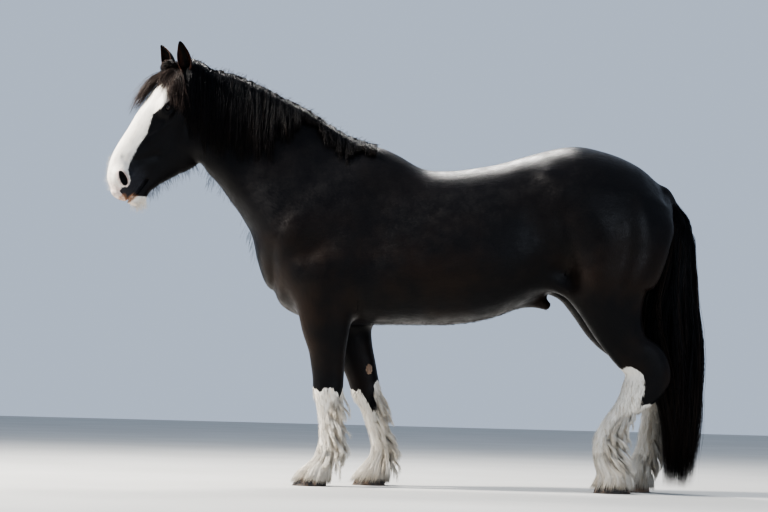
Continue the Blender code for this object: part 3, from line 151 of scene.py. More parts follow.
FAR_HIND = (
    (1.090, 0.165, 1.480, 0.240, 0.270, 0.105),
    (1.085, 0.190, 1.370, 0.240, 0.300, 0.120),
    (1.075, 0.205, 1.200, 0.235, 0.265, 0.127),
    (1.050, 0.205, 1.045, 0.192, 0.196, 0.120),
    (1.102, 0.192, 0.890, 0.144, 0.116, 0.098),
    (1.214, 0.172, 0.780, 0.122, 0.082, 0.078),
    (1.318, 0.157, 0.700, 0.108, 0.116, 0.066),
    (1.362, 0.150, 0.612, 0.103, 0.112, 0.062),
    (1.350, 0.150, 0.510, 0.075, 0.080, 0.056),
    (1.328, 0.150, 0.420, 0.056, 0.056, 0.046),
    (1.304, 0.153, 0.300, 0.052, 0.053, 0.043),
    (1.298, 0.156, 0.222, 0.060, 0.060, 0.054),
    (1.270, 0.158, 0.160, 0.057, 0.056, 0.055),
    (1.244, 0.160, 0.105, 0.068, 0.066, 0.070),
    (1.226, 0.160, 0.045, 0.074, 0.070, 0.076),
)
FLANK = (
    (0.740, -0.160, 1.100, 0.050, 0.050, 0.070),
    (0.835, -0.185, 1.055, 0.044, 0.044, 0.050),
    (0.930, -0.200, 1.010, 0.050, 0.050, 0.060),
)
SHEATH = (
    (0.580, 0.000, 1.020, 0.050, 0.050, 0.060),
    (0.680, 0.000, 1.000, 0.045, 0.045, 0.052),
    (0.748, 0.000, 0.968, 0.026, 0.026, 0.034),
)
DOCK = (
    (1.290, 0.000, 1.590, 0.032, 0.032, 0.040),
    (1.350, 0.000, 1.580, 0.032, 0.032, 0.038),
    (1.405, 0.000, 1.500, 0.026, 0.026, 0.032),
    (1.432, 0.000, 1.400, 0.020, 0.020, 0.024),
    (1.444, 0.000, 1.320, 0.012, 0.012, 0.014),
)

# Head sections in the head's own frame: distance from the poll towards the lips,
# centre towards the front, half sizes to the front, to the back, sideways, narrowing
FACE = (
    (0.000, -0.050, 0.045, 0.060, 0.060, 0.00),
    (0.050, -0.030, 0.068, 0.100, 0.080, 0.00),
    (0.120, -0.015, 0.090, 0.140, 0.102, 0.05),
    (0.200, -0.010, 0.108, 0.150, 0.110, 0.05),
    (0.280, -0.010, 0.117, 0.140, 0.108, 0.10),
    (0.360, -0.005, 0.124, 0.120, 0.092, 0.20),
    (0.450, 0.005, 0.120, 0.110, 0.078, 0.22),
    (0.540, 0.020, 0.115, 0.110, 0.067, 0.18),
    (0.620, 0.028, 0.109, 0.110, 0.064, 0.10),
    (0.690, 0.022, 0.101, 0.095, 0.068, 0.00),
    (0.740, 0.015, 0.086, 0.073, 0.062, 0.00),
    (0.782, 0.005, 0.054, 0.050, 0.046, 0.00),
)
JAW = (
    (0.180, -0.120, 0.090, 0.080, 0.062, 0.00),
    (0.280, -0.150, 0.100, 0.115, 0.082, -0.10),
    (0.380, -0.160, 0.115, 0.140, 0.084, -0.12),
    (0.460, -0.150, 0.120, 0.138, 0.073, -0.15),
    (0.530, -0.125, 0.105, 0.110, 0.060, -0.15),
    (0.590, -0.110, 0.090, 0.082, 0.052, -0.10),
    (0.650, -0.095, 0.075, 0.058, 0.045, 0.00),
    (0.705, -0.085, 0.062, 0.047, 0.043, 0.00),
    (0.755, -0.080, 0.046, 0.054, 0.042, 0.00),
    (0.788, -0.072, 0.026, 0.036, 0.034, 0.00),
)

# Muscles and hollows seen from the side, on both sides:
# how far out or in, how wide, and the line they follow in x and z
STROKES = (
    (0.013, 0.090, ((-0.26, 1.40), (-0.34, 1.22), (-0.44, 1.08))),
    (0.012, 0.090, ((-0.58, 1.30), (-0.64, 1.20), (-0.62, 1.10))),
    (0.008, 0.100, ((-0.22, 1.62), (-0.38, 1.42), (-0.54, 1.26))),
    (-0.004, 0.060, ((-0.40, 1.70), (-0.56, 1.50), (-0.66, 1.36))),
    (-0.006, 0.070, ((-0.12, 1.30), (-0.20, 1.08), (-0.26, 0.94))),
    (-0.018, 0.090, ((0.66, 1.40), (0.72, 1.22))),
    (0.014, 0.055, ((0.72, 1.64), (0.80, 1.56))),
    (0.014, 0.090, ((0.92, 1.50), (1.02, 1.30), (0.98, 1.10))),
    (0.012, 0.070, ((1.22, 1.46), (1.24, 1.26), (1.18, 1.06))),
    (-0.006, 0.040, ((1.14, 1.52), (1.14, 1.28), (1.10, 1.08))),
    (-0.010, 0.050, ((0.80, 1.40), (0.84, 1.20), (0.86, 1.08))),
)


def curve_through(rows, steps):
    """Points of a Catmull-Rom curve through the rows, steps to each span."""
    rows = np.asarray(rows, dtype=float)
    first = 2.0 * rows[0] - rows[1]
    last = 2.0 * rows[-1] - rows[-2]
    padded = np.vstack([first, rows, last])
    result = []
    for i in range(len(rows) - 1):
        a, b, c, d = padded[i:i + 4]
        for step in range(steps):
            t = step / steps
            result.append(0.5 * (2.0 * b + (c - a) * t + (2.0 * a - 5.0 * b + 4.0 * c - d) * t ** 2
                                 + (3.0 * b - a - 3.0 * c + d) * t ** 3))
    result.append(rows[-1])
    return np.array(result)


def smooth_union(a, b, blend):
    """The smaller of two distances, rounded over where they are alike."""
    near = np.maximum(blend - np.abs(a - b), 0.0) / blend
    return np.minimum(a, b) - near * near * blend * 0.25


class Loft:
    """Oval sections along a line; its distance is that to their skin."""

    def __init__(self, centre, front_dir, along_dir, sizes, blend, power=2.0, caps=(0.05, 0.05)):
        self.centre = centre
        self.front_dir = front_dir
        self.along_dir = along_dir
        self.side_dir = np.cross(along_dir, front_dir)
        self.sizes = sizes
        self.blend = blend
        self.power = power
        self.caps = caps
        reach = sizes[:, :3].max(axis=1)[:, None] + max(caps) + 0.10
        self.low = (centre - reach).min(axis=0)
        self.high = (centre + reach).max(axis=0)

    def distance(self, points):
        result = np.full(len(points), 0.5)
        near = np.all((points > self.low) & (points < self.high), axis=1)
        index = np.nonzero(near)[0]
        for start in range(0, len(index), 20000):
            part = index[start:start + 20000]
            result[part] = self.distance_near(points[part])
        return result

    def distance_near(self, p):
        ahead = p @ self.along_dir.T - (self.centre * self.along_dir).sum(axis=1)
        middle = 0.5 * (self.centre[1:] + self.centre[:-1])
        away = (p * p).sum(axis=1)[:, None] - 2.0 * p @ middle.T + (middle * middle).sum(axis=1)
        between = (ahead[:, :-1] >= 0.0) & (ahead[:, 1:] < 0.0)
        found = between.any(axis=1)
        span = np.where(between, away, np.inf).argmin(axis=1)
        last = len(self.centre) - 2
        to_start = ((p - self.centre[0]) ** 2).sum(axis=1)
        to_end = ((p - self.centre[-1]) ** 2).sum(axis=1)
        at_start = ~found & (to_start <= to_end)
        at_end = ~found & ~at_start
        span[at_start] = 0
        span[at_end] = last
        rows = np.arange(len(p))
        before = ahead[rows, span]
        after = ahead[rows, span + 1]
        t = before / np.where(np.abs(before - after) < 1e-9, 1e-9, before - after)
        t[at_start] = 0.0
        t[at_end] = 1.0
        t = np.clip(t, 0.0, 1.0)[:, None]
        centre = self.centre[span] * (1.0 - t) + self.centre[span + 1] * t
        front_dir = self.front_dir[span] * (1.0 - t) + self.front_dir[span + 1] * t
        side_dir = self.side_dir[span] * (1.0 - t) + self.side_dir[span + 1] * t
        sizes = self.sizes[span] * (1.0 - t) + self.sizes[span + 1] * t
        offset = p - centre
        v = (offset * front_dir).sum(axis=1)
        w = (offset * side_dir).sum(axis=1)
        deep = np.where(v > 0.0, sizes[:, 0], sizes[:, 1])
        wide = sizes[:, 2] * (1.0 - sizes[:, 3] * np.clip(v / deep, -1.0, 1.0))
        power = self.power
        a = np.abs(v) / deep
        b = np.abs(w) / wide
        rho = np.maximum((a ** power + b ** power) ** (1.0 / power), 0.15)
        slope = np.hypot(a ** (power - 1.0) / deep, b ** (power - 1.0) / wide) * rho ** (1.0 - power)
        cap = np.zeros(len(p))
        reach = np.ones(len(p))
        cap[at_start] = -ahead[at_start, 0] / self.caps[0]
        cap[at_end] = ahead[at_end, -1] / self.caps[1]
        reach[at_start] = self.caps[0]
        reach[at_end] = self.caps[1]
        cap = np.maximum(cap, 0.0)
        total = np.hypot(rho, cap)
        slope = np.hypot(rho * slope, cap / reach) / total
        return (total - 1.0) / np.maximum(slope, 1.0)


def unit(v):
    return v / np.linalg.norm(v, axis=-1, keepdims=True)


def trunk_loft():
    rows = curve_through(TRUNK, 4)
    x, top, bottom, wide, narrowing = rows.T
    middle = bottom + 0.46 * (top - bottom)
    centre = np.column_stack([x, np.zeros_like(x), middle])
    sizes = np.column_stack([top - middle, middle - bottom, wide, narrowing])
    front_dir = np.tile((0.0, 0.0, 1.0), (len(x), 1))
    along_dir = np.tile((1.0, 0.0, 0.0), (len(x), 1))
    return Loft(centre, front_dir, along_dir, sizes, 0.05, 2.15, (0.075, 0.06))


def neck_loft():
    rows = curve_through(NECK, 4)
    crest = np.column_stack([rows[:, 0], rows[:, 4], rows[:, 1]])
    throat = np.column_stack([rows[:, 2], rows[:, 4], rows[:, 3]])
    centre = throat + 0.42 * (crest - throat)
    up = unit(crest - throat)
    along = np.column_stack([up[:, 2], np.zeros(len(rows)), -up[:, 0]])
    high = np.linalg.norm(crest - centre, axis=1)
    low = np.linalg.norm(throat - centre, axis=1)
    sizes = np.column_stack([high, low, rows[:, 5], rows[:, 6]])
    return Loft(centre, up, along, sizes, 0.10, 2.1, (0.05, 0.10))


def limb_loft(table, blend, caps=(0.08, 0.02)):
    rows = curve_through(table, 4)
    centre = rows[:, :3]
    tangent = np.gradient(centre, axis=0)
    along = unit(tangent)
    front = unit(np.column_stack([along[:, 2], np.zeros(len(rows)), -along[:, 0]]))
    sizes = np.column_stack([rows[:, 3], rows[:, 4], rows[:, 5], np.zeros(len(rows))])
    return Loft(centre, front, along, sizes, blend, 2.2, caps)


# The head's own directions: from poll to lips, towards the forehead, to the left
FORWARD = np.array((-math.cos(HEAD_YAW), -math.sin(HEAD_YAW), 0.0))
HEAD_LEFT = np.array((math.sin(HEAD_YAW), -math.cos(HEAD_YAW), 0.0))
DOWN = np.array((0.0, 0.0, -1.0))
HEAD_ALONG = FORWARD * math.sin(HEAD_PITCH) + DOWN * math.cos(HEAD_PITCH)
HEAD_FRONT = FORWARD * math.cos(HEAD_PITCH) - DOWN * math.sin(HEAD_PITCH)
HEAD_ORIGIN = np.array(POLL)


def head_point(along, front, left):
    """A point given in the head's own frame."""
    return HEAD_ORIGIN + along * HEAD_ALONG + front * HEAD_FRONT + left * HEAD_LEFT


def in_head(points):
    """Each point's distances along, to the front and to the left of the poll."""
    offset = points - HEAD_ORIGIN
    return offset @ HEAD_ALONG, offset @ HEAD_FRONT, offset @ HEAD_LEFT


def head_loft(table, blend, power, caps):
    rows = curve_through(table, 4)
    centre = HEAD_ORIGIN + np.outer(rows[:, 0], HEAD_ALONG) + np.outer(rows[:, 1], HEAD_FRONT)
    count = len(rows)
    return Loft(centre, np.tile(HEAD_FRONT, (count, 1)), np.tile(HEAD_ALONG, (count, 1)),
                rows[:, 2:6], blend, power, caps)


def ellipsoid(points, centre, radii, turn=0.0):
    """Distance to an ellipsoid in the head's own frame, the same on both sides.

    turn is how far its first radius turns from the lips towards the throat."""
    along, front, left = in_head(points)
    a = along - centre[0]
    b = front - centre[1]
    offset = np.column_stack([a * math.cos(turn) - b * math.sin(turn),
                              a * math.sin(turn) + b * math.cos(turn), np.abs(left) - centre[2]])
    scaled = offset / np.asarray(radii)
    rho = np.maximum(np.linalg.norm(scaled, axis=1), 0.15)
    slope = np.linalg.norm(scaled / np.asarray(radii), axis=1) / rho
    return (rho - 1.0) / np.maximum(slope, 1.0)


def from_line(a, b, line, steps=6):
    """Distance in a plane from each point to a smooth line."""
    dense = curve_through(line, steps)
    best = np.full(len(a), np.inf)
    for start, end in zip(dense[:-1], dense[1:]):
        run = end - start
        t = ((a - start[0]) * run[0] + (b - start[1]) * run[1]) / (run @ run)
        t = np.clip(t, 0.0, 1.0)
        best = np.minimum(best, np.hypot(a - start[0] - t * run[0], b - start[1] - t * run[1]))
    return best


def muscles(points):
    """How far the muscles and hollows of the body push the skin out."""
    side = np.clip(np.abs(points[:, 1]) / 0.12, 0.0, 1.0)
    push = np.zeros(len(points))
    for height, width, line in STROKES:
        away = from_line(points[:, 0], points[:, 2], line)
        push += height * np.exp(-(away / width) ** 2)
    return push * side * side * (3.0 - 2.0 * side)


# Lines on the side of the head: height, width, and points along and to the front
HEAD_STROKES = (
    (0.005, 0.018, ((0.300, -0.020), (0.380, -0.012), (0.470, 0.004))),
    (0.010, 0.022, ((0.186, 0.044), (0.231, 0.046), (0.278, 0.044), (0.316, 0.030))),
    (-0.008, 0.020, ((0.136, 0.024), (0.186, 0.014), (0.216, 0.010))),
    (0.006, 0.030, ((0.300, -0.110), (0.380, -0.150), (0.420, -0.210))),
    (-0.006, 0.022, ((0.520, -0.060), (0.560, -0.020), (0.600, 0.020))),
    (-0.006, 0.014, ((0.655, 0.020), (0.630, 0.055), (0.615, 0.085))),
    (0.005, 0.012, ((0.231, -0.016), (0.278, -0.024), (0.316, -0.012))),
)
MOUTH_LINE = ((0.654, -0.080), (0.708, -0.070), (0.756, -0.058), (0.788, -0.047), (0.820, -0.040))


def head_relief(points):
    """How far the lines of the face push its skin out, on both sides."""
    along, front, left = in_head(points)
    side = np.clip((np.abs(left) - 0.012) / 0.04, 0.0, 1.0)
    push = np.zeros(len(points))
    for height, width, line in HEAD_STROKES:
        push += height * np.exp(-(from_line(along, front, line) / width) ** 2)
    push *= side
    mouth = from_line(along, front, MOUTH_LINE)
    push -= 0.010 * np.exp(-(mouth / 0.0065) ** 2)
    return push


LOFTS = None


def lofts():
    """Every loft of the flesh, made once: the trunk first, then what joins it."""
    global LOFTS
    if LOFTS is None:
        LOFTS = {
            "trunk": trunk_loft(),
            "neck": neck_loft(),
            "near_fore": limb_loft(NEAR_FORE, 0.08),
            "far_fore": limb_loft(FAR_FORE, 0.08),
            "near_hind": limb_loft(NEAR_HIND, 0.10),
            "far_hind": limb_loft(FAR_HIND, 0.10),
            "near_flank": limb_loft(FLANK, 0.07, (0.03, 0.03)),
            "far_flank": limb_loft([(row[0], -row[1], *row[2:]) for row in FLANK], 0.07, (0.03, 0.03)),
            "sheath": limb_loft(SHEATH, 0.05, (0.04, 0.02)),
            "face": head_loft(FACE, 0.06, 2.3, (0.04, 0.030)),
            "jaw": head_loft(JAW, 0.035, 2.2, (0.05, 0.016)),
            "dock": limb_loft(DOCK, 0.04, (0.02, 0.02)),
        }
    return LOFTS


def flesh(points):
    """Signed distance to the skin: negative inside."""
    value = None
    for loft in lofts().values():
        away = loft.distance(points)
        value = away if value is None else smooth_union(value, away, loft.blend)
    value = value - muscles(points)
    near_head = np.nonzero(in_head(points)[2] ** 2 + in_head(points)[1] ** 2 < 0.35 ** 2)[0]
    if len(near_head):
        head = points[near_head]
        local = value[near_head]
        swell = ellipsoid(head, (0.712, 0.050, 0.044), (0.052, 0.040, 0.031), NOSTRIL_TURN)
        local = smooth_union(local, swell, 0.03)
        local = smooth_union(local, ellipsoid(head, (0.278, 0.010, 0.086), (0.044, 0.036, 0.036)), 0.03)
        local = local - head_relief(head)
        nostril = ellipsoid(head, (0.714, 0.045, 0.084), (0.034, 0.015, 0.036), NOSTRIL_TURN)
        local = -smooth_union(-local, nostril, 0.008)
        value[near_head] = local
    return value


def tube(loft, sides=20, share=0.97):
    """Vertices and faces of a closed tube through a loft's sections."""
    points = []
    faces = []
    count = len(loft.centre)
    for i in range(count):
        front, back, wide, _ = loft.sizes[i] * share
        for k in range(sides):
            angle = 2.0 * math.pi * k / sides
            deep = front if math.cos(angle) > 0.0 else back
            points.append(loft.centre[i] + loft.front_dir[i] * deep * math.cos(angle)
                          + loft.side_dir[i] * wide * math.sin(angle))
    for i in range(count - 1):
        for k in range(sides):
            n = (k + 1) % sides
            faces.append((i * sides + k, i * sides + n, (i + 1) * sides + n, (i + 1) * sides + k))
    faces.append(tuple(range(sides - 1, -1, -1)))
    faces.append(tuple(range((count - 1) * sides, count * sides)))
    return points, faces


def new_object(name, points, faces):
    mesh = bpy.data.meshes.new(name)
    mesh.from_pydata([tuple(p) for p in points], [], faces)
    obj = bpy.data.objects.new(name, mesh)
    bpy.context.scene.collection.objects.link(obj)
    return obj


def make_real(obj):
    """Give an object the mesh that its modifiers make, and clear them."""
    depsgraph = bpy.context.evaluated_depsgraph_get()
    mesh = bpy.data.meshes.new_from_object(obj.evaluated_get(depsgraph))
    old = obj.data
    obj.modifiers.clear()
    obj.data = mesh
    bpy.data.meshes.remove(old)


def read_array(elements, name, width=1, kind=np.float32):
    """One value, or one vector, of every element of a mesh."""
    flat = np.empty(len(elements) * width, dtype=kind)
    elements.foreach_get(name, flat)
    return flat.reshape(-1, width) if width > 1 else flat


def vertex_array(mesh):
    return read_array(mesh.vertices, "co", 3).astype(float)


def normal_array(mesh):
    return read_array(mesh.vertex_normals, "vector", 3).astype(float)


def face_outwards(obj):
    work = bmesh.new()
    work.from_mesh(obj.data)
    bmesh.ops.recalc_face_normals(work, faces=work.faces)
    work.to_mesh(obj.data)
    work.free()


def set_vertices(mesh, points):
    mesh.vertices.foreach_set("co", points.astype(np.float32).ravel())
    mesh.update()


def smooth_step(mesh, share):
    """Move every vertex part of the way to the middle of its neighbours."""
    points = vertex_array(mesh)
    edges = read_array(mesh.edges, "vertices", 2, np.int32)
    total = np.zeros_like(points)
    count = np.zeros(len(points))
    for a, b in ((0, 1), (1, 0)):
        np.add.at(total, edges[:, a], points[edges[:, b]])
        np.add.at(count, edges[:, a], 1.0)
    middle = total / count[:, None]
    set_vertices(mesh, points + share * (middle - points))


def slope_array(points, field, step=0.002):
    """Unit directions in which a field rises."""
    here = field(points)
    rise = [field(points + step * axis) - here for axis in np.eye(3)]
    return here, unit(np.column_stack(rise) + 1e-9)


def draw_onto(mesh, field, rounds, most):
    """Move a mesh's vertices along their normals towards the zero of a field."""
    for _ in range(rounds):
        points = vertex_array(mesh)
        step = np.clip(field(points), -most, most)
        set_vertices(mesh, points - normal_array(mesh) * step[:, None])


def settle_onto(mesh, field, rounds, most):
    """Move a mesh's vertices down or up a field's own slope, onto its zero."""
    for _ in range(rounds):
        points = vertex_array(mesh)
        here, slope = slope_array(points, field)
        set_vertices(mesh, points - slope * np.clip(here, -most, most)[:, None])


# Each leg's sections, its loft and its side
LEGS = {
    "foreleg_left": (NEAR_FORE, "near_fore", -1.0),
    "foreleg_right": (FAR_FORE, "far_fore", 1.0),
    "hindleg_left": (NEAR_HIND, "near_hind", -1.0),
    "hindleg_right": (FAR_HIND, "far_hind", 1.0),
}
# Each hoof: x and y of its middle, how high its top stands in front and behind,
# half its length on the ground, half its width, and how far its top lies back
HOOVES = {
    "foreleg_left": (-0.470, -0.170, 0.100, 0.070, 0.092, 0.090, 0.032),
    "foreleg_right": (-0.164, 0.170, 0.100, 0.070, 0.090, 0.090, 0.030),
    "hindleg_left": (1.098, -0.160, 0.108, 0.072, 0.100, 0.088, 0.012),
    "hindleg_right": (1.236, 0.160, 0.104, 0.070, 0.094, 0.088, 0.020),
}
# Share of its length and of its width that a hoof loses from sole to top
HOOF_SLIM = (0.26, 0.22)


def hoof_ring(leg, share):
    """One level of a hoof, from its sole (0) to its top (1): centre, sizes, front and back height."""
    x, y, front_high, back_high, long, wide, lie_back = HOOVES[leg]
    sizes = (long * (1.0 - HOOF_SLIM[0] * share), wide * (1.0 - HOOF_SLIM[1] * share))
    return (x + lie_back * share, y), sizes, front_high * share, back_high * share


def hoof_object(name, leg, sides, levels):
    """A hoof: oval levels from a flat sole to a top that slopes down to the heels."""
    points = []
    faces = []
    for level in range(levels):
        share = level / (levels - 1)
        (x, y), (long, wide), front, back = hoof_ring(leg, share)
        for k in range(sides):
            angle = 2.0 * math.pi * k / sides
            ahead = math.cos(angle)
            flat = 0.94 if ahead < -0.5 else 1.0
            z = back + (front - back) * 0.5 * (1.0 + ahead)
            points.append((x - long * ahead * flat, y + wide * math.sin(angle), z))
    for level in range(levels - 1):
        for k in range(sides):
            n = (k + 1) % sides
            above = (level + 1) * sides
            faces.append((level * sides + k, level * sides + n, above + n, above + k))
    faces.append(tuple(range(sides - 1, -1, -1)))
    faces.append(tuple(range((levels - 1) * sides, levels * sides)))
    obj = new_object(name, points, faces)
    face_outwards(obj)
    return obj


# Ears: base and tip in the head's frame, and how far the opening faces to the front and to the left
EARS = {
    "ear_left": ((0.062, -0.022, 0.060), (-0.070, 0.103, 0.088), (0.60, 0.70)),
    "ear_right": ((0.058, 0.040, -0.060), (-0.048, 0.141, -0.090), (0.95, 0.20)),
}
# Share of the ear from its base, half width there, and how many degrees its cup curls each way
EAR_SHAPE = ((0.00, 0.022, 165.0), (0.15, 0.029, 150.0), (0.35, 0.036, 118.0), (0.60, 0.032, 96.0),
             (0.80, 0.021, 84.0), (0.93, 0.011, 74.0), (1.00, 0.003, 64.0))
EAR_THICKNESS = 0.0045
EAR_FACES = 26
EAR_STEPS = 7


def ear_axes(name):
    """Where an ear starts, its direction and length, and the way its cup opens."""
    base, tip, (forward, sideways) = EARS[name]
    start = head_point(*base)
    axis = head_point(*tip) - start
    length = np.linalg.norm(axis)
    axis = axis / length
    opening = HEAD_FRONT * forward + HEAD_LEFT * sideways - HEAD_ALONG * 0.1
    return start, axis, length, unit(opening - axis * (opening @ axis))


def ear_object(name):
    """A cupped ear: a curled leaf with a thickness, open forwards and outwards."""
    start, axis, length, opening = ear_axes(name)
    across = np.cross(axis, opening)
    around = EAR_FACES
    points = []
    faces = []
    rows = curve_through(EAR_SHAPE, EAR_STEPS)
    for share, half, reach in rows:
        widest = math.radians(reach)
        radius = half / (1.0 if reach >= 90.0 else math.sin(widest))
        lean = 0.018 * (share ** 2) - 0.006 * share
        for k in range(around + 1):
            angle = widest * (2.0 * k / around - 1.0)
            points.append(start + axis * length * share - opening * (radius * math.cos(angle) - lean)
                          + across * radius * math.sin(angle))
    for i in range(len(rows) - 1):
        for k in range(around):
            a = i * (around + 1) + k
            faces.append((a, a + 1, a + around + 2, a + around + 1))
    obj = new_object(name, points, faces)
    solid = obj.modifiers.new("solidify", "SOLIDIFY")
    solid.thickness = EAR_THICKNESS
    solid.offset = 0.0
    make_real(obj)
    face_outwards(obj)
    return obj


def smooth_between(low, high, value):
    """0 below low, 1 above high, and a soft step between them."""
    t = np.clip((value - low) / (high - low), 0.0, 1.0)
    return t * t * (3.0 - 2.0 * t)


def leg_of(points):
    """Index of the leg that each point is nearest to, and the leg's own middle at its height."""
    places = []
    for table, _, _ in LEGS.values():
        rows = curve_through(table, 6)[::-1]
        x = np.interp(points[:, 2], rows[:, 2], rows[:, 0])
        y = np.interp(points[:, 2], rows[:, 2], rows[:, 1])
        places.append(np.column_stack([x, y]))
    places = np.array(places)
    away = np.linalg.norm(points[None, :, :2] - places, axis=2)
    nearest = away.argmin(axis=0)
    return nearest, places[nearest, np.arange(len(points))]


# Eyelids: how thick they are over the ball, how far the opening turns forward and slants, and its half sizes
LID_THICKNESS = 0.0042
LID_TURN = 0.30
LID_SLANT = 0.35
LID_LENGTH = 0.0198
LID_HEIGHT = 0.0118


def eye_frame(side):
    """The eye's middle, and its directions outwards, to the front corner and up."""
    centre = head_point(EYE_PLACE[0], EYE_PLACE[1], EYE_PLACE[2] * side)
    out = unit(HEAD_LEFT * side * math.cos(LID_TURN) + HEAD_FRONT * math.sin(LID_TURN))
    corner = unit(HEAD_ALONG * math.cos(LID_SLANT) - HEAD_FRONT * math.sin(LID_SLANT))
    corner = unit(corner - out * (corner @ out))
    rise = HEAD_FRONT - out * (HEAD_FRONT @ out)
    rise = unit(rise - corner * (rise @ corner))
    return centre, out, corner, rise


def lids(points, value):
    """Lay lids over both eyeballs, with an almond opening and folds round it."""
    for side in (1.0, -1.0):
        centre, out, corner, rise = eye_frame(side)
        offset = points - centre
        near = np.nonzero((offset * offset).sum(axis=1) < 0.09 ** 2)[0]
        if not len(near):
            continue
        o = offset[near] @ out
        c = offset[near] @ corner
        r = offset[near] @ rise
        away = np.linalg.norm(offset[near], axis=1)
        local = smooth_union(value[near], away - EYE_RADIUS - LID_THICKNESS, 0.010)
        bow = np.sqrt(np.clip(1.0 - (c / LID_LENGTH) ** 2, 0.0, 1.0))
        upper = 0.0010 + LID_HEIGHT * bow
        lower = -0.0010 - 0.78 * LID_HEIGHT * bow
        almond = np.maximum(np.maximum(r - upper, lower - r), np.abs(c) - LID_LENGTH)
        wedge = np.maximum(np.maximum(almond, EYE_RADIUS - 0.002 - away), -o)
        local = -smooth_union(-local, wedge, 0.0022)
        front = np.exp(-((o - EYE_RADIUS) / 0.02) ** 2) * (o > 0.0)
        crease = np.exp(-((r - upper - 0.0075 - 0.05 * np.abs(c)) / 0.0016) ** 2)
        crease += 0.6 * np.exp(-((r - upper - 0.0135 - 0.08 * np.abs(c)) / 0.0020) ** 2)
        crease += 0.7 * np.exp(-((r - lower + 0.0065) / 0.0016) ** 2)
        crease += 0.4 * np.exp(-((r - lower + 0.0120 - 0.2 * np.abs(c)) / 0.0020) ** 2)
        value[near] = local + 0.0016 * crease * front * (np.abs(c) < 0.034)
    return value


def nostril_hole(points):
    """Distance to the inner cavity of each nostril: wide below, drawn out to a slit above."""
    wide = ellipsoid(points, (0.719, 0.037, 0.066), (0.028, 0.0165, 0.046), NOSTRIL_TURN)
    slit = ellipsoid(points, (0.703, 0.057, 0.070), (0.022, 0.0115, 0.040), NOSTRIL_TURN)
    return smooth_union(wide, slit, 0.008)


def skin_field(points):
    """Signed distance to the skin itself under the coat, with what the solids leave out of the face."""
    value = flesh(points) + COAT_DEPTH
    low = points[:, 2]
    value += (FEATHER_DEPTH - COAT_DEPTH) * smooth_between(0.50, 0.30, low)
    along, front, left = in_head(points)
    near = np.nonzero((along > 0.1) & (along < 0.9) & (np.abs(left) < 0.2) & (np.abs(front) < 0.4))[0]
    if len(near):
        local = value[near]
        a, f, w = along[near], front[near], np.abs(left[near])
        local = lids(points[near], local)
        rim = ellipsoid(points[near], NOSTRIL_RIM, (0.040, 0.021, 0.016), NOSTRIL_TURN)
        local -= 0.0040 * np.exp(-(np.maximum(rim, 0.0) / 0.006) ** 2) * (w > 0.03)
        local = -smooth_union(-local, nostril_hole(points[near]), 0.004)
        mouth = from_line(a, f, MOUTH_LINE)
        parted = smooth_between(0.650, 0.700, a)
        local += 0.0045 * parted * np.exp(-(mouth / 0.0022) ** 2)
        local -= 0.0022 * parted * np.exp(-((mouth - 0.010) / 0.006) ** 2)
        vein = from_line(a, f, ((0.330, -0.050), (0.400, -0.015), (0.470, 0.030), (0.520, 0.050)))
        local -= 0.0022 * np.exp(-(vein / 0.0040) ** 2) * (w > 0.02)
        wrinkle = from_line(a, f, ((0.660, -0.062), (0.648, -0.085), (0.655, -0.108)))
        local += 0.0022 * np.exp(-(wrinkle / 0.0030) ** 2) * (w > 0.015)
        value[near] = local
    return value


# Size of the grid that the skin is first drawn on
SKIN_VOXEL = 0.0145


def refine(obj, wanted, cuts=1):
    """Cut every edge whose both ends lie in a region in two."""
    chosen = wanted(vertex_array(obj.data))
    work = bmesh.new()
    work.from_mesh(obj.data)
    work.verts.ensure_lookup_table()
    edges = [edge for edge in work.edges if chosen[edge.verts[0].index] and chosen[edge.verts[1].index]]
    bmesh.ops.subdivide_edges(work, edges=edges, cuts=cuts, use_grid_fill=True)
    work.to_mesh(obj.data)
    work.free()


def on_head(points):
    along, front, left = in_head(points)
    return (along > 0.02) & (along < 0.9) & (np.abs(left) < 0.17) & (front > -0.33) & (front < 0.2)


def on_face(points):
    along, front, left = in_head(points)
    muzzle = (along > 0.60) & (front > -0.14)
    eyes = np.hypot(along - EYE_PLACE[0], front - EYE_PLACE[1]) < 0.065
    return on_head(points) & (muzzle | (eyes & (np.abs(left) > 0.05)))


def on_detail(points):
    along, front, left = in_head(points)
    eyes = (np.hypot(along - EYE_PLACE[0], front - EYE_PLACE[1]) < 0.036) & (np.abs(left) > 0.07)
    nostrils = np.hypot(along - 0.714, front - 0.043) < 0.048
    mouth = (from_line(along, front, MOUTH_LINE) < 0.012) & (np.abs(left) > 0.01)
    return on_head(points) & (eyes | (nostrils & (np.abs(left) > 0.02)) | mouth)


def skin_object():
    """One closed skin over the whole horse, finest at eyes, nostrils and mouth."""
    points = []
    faces = []
    for loft in lofts().values():
        some, rings = tube(loft)
        start = len(points)
        points.extend(some)
        faces.extend(tuple(i + start for i in face) for face in rings)
    obj = new_object("skin", points, faces)
    remesh = obj.modifiers.new("remesh", "REMESH")
    remesh.mode = "VOXEL"
    remesh.voxel_size = SKIN_VOXEL
    make_real(obj)
    keep_largest(obj)
    for _ in range(12):
        smooth_step(obj.data, 0.5)
    for _ in range(5):
        draw_onto(obj.data, flesh, 1, 1.5 * SKIN_VOXEL)
        smooth_step(obj.data, 0.5)
        smooth_step(obj.data, 0.5)
    settle_onto(obj.data, skin_field, 1, SKIN_VOXEL)
    smooth_step(obj.data, 0.4)
    for region, size in ((on_head, 0.006), (on_face, 0.003), (on_detail, 0.0015)):
        refine(obj, region)
        settle_onto(obj.data, skin_field, 1, 2.0 * size)
        smooth_step(obj.data, 0.4)
        settle_onto(obj.data, skin_field, 1, size)
    settle_onto(obj.data, skin_field, 2, 0.003)
    return obj


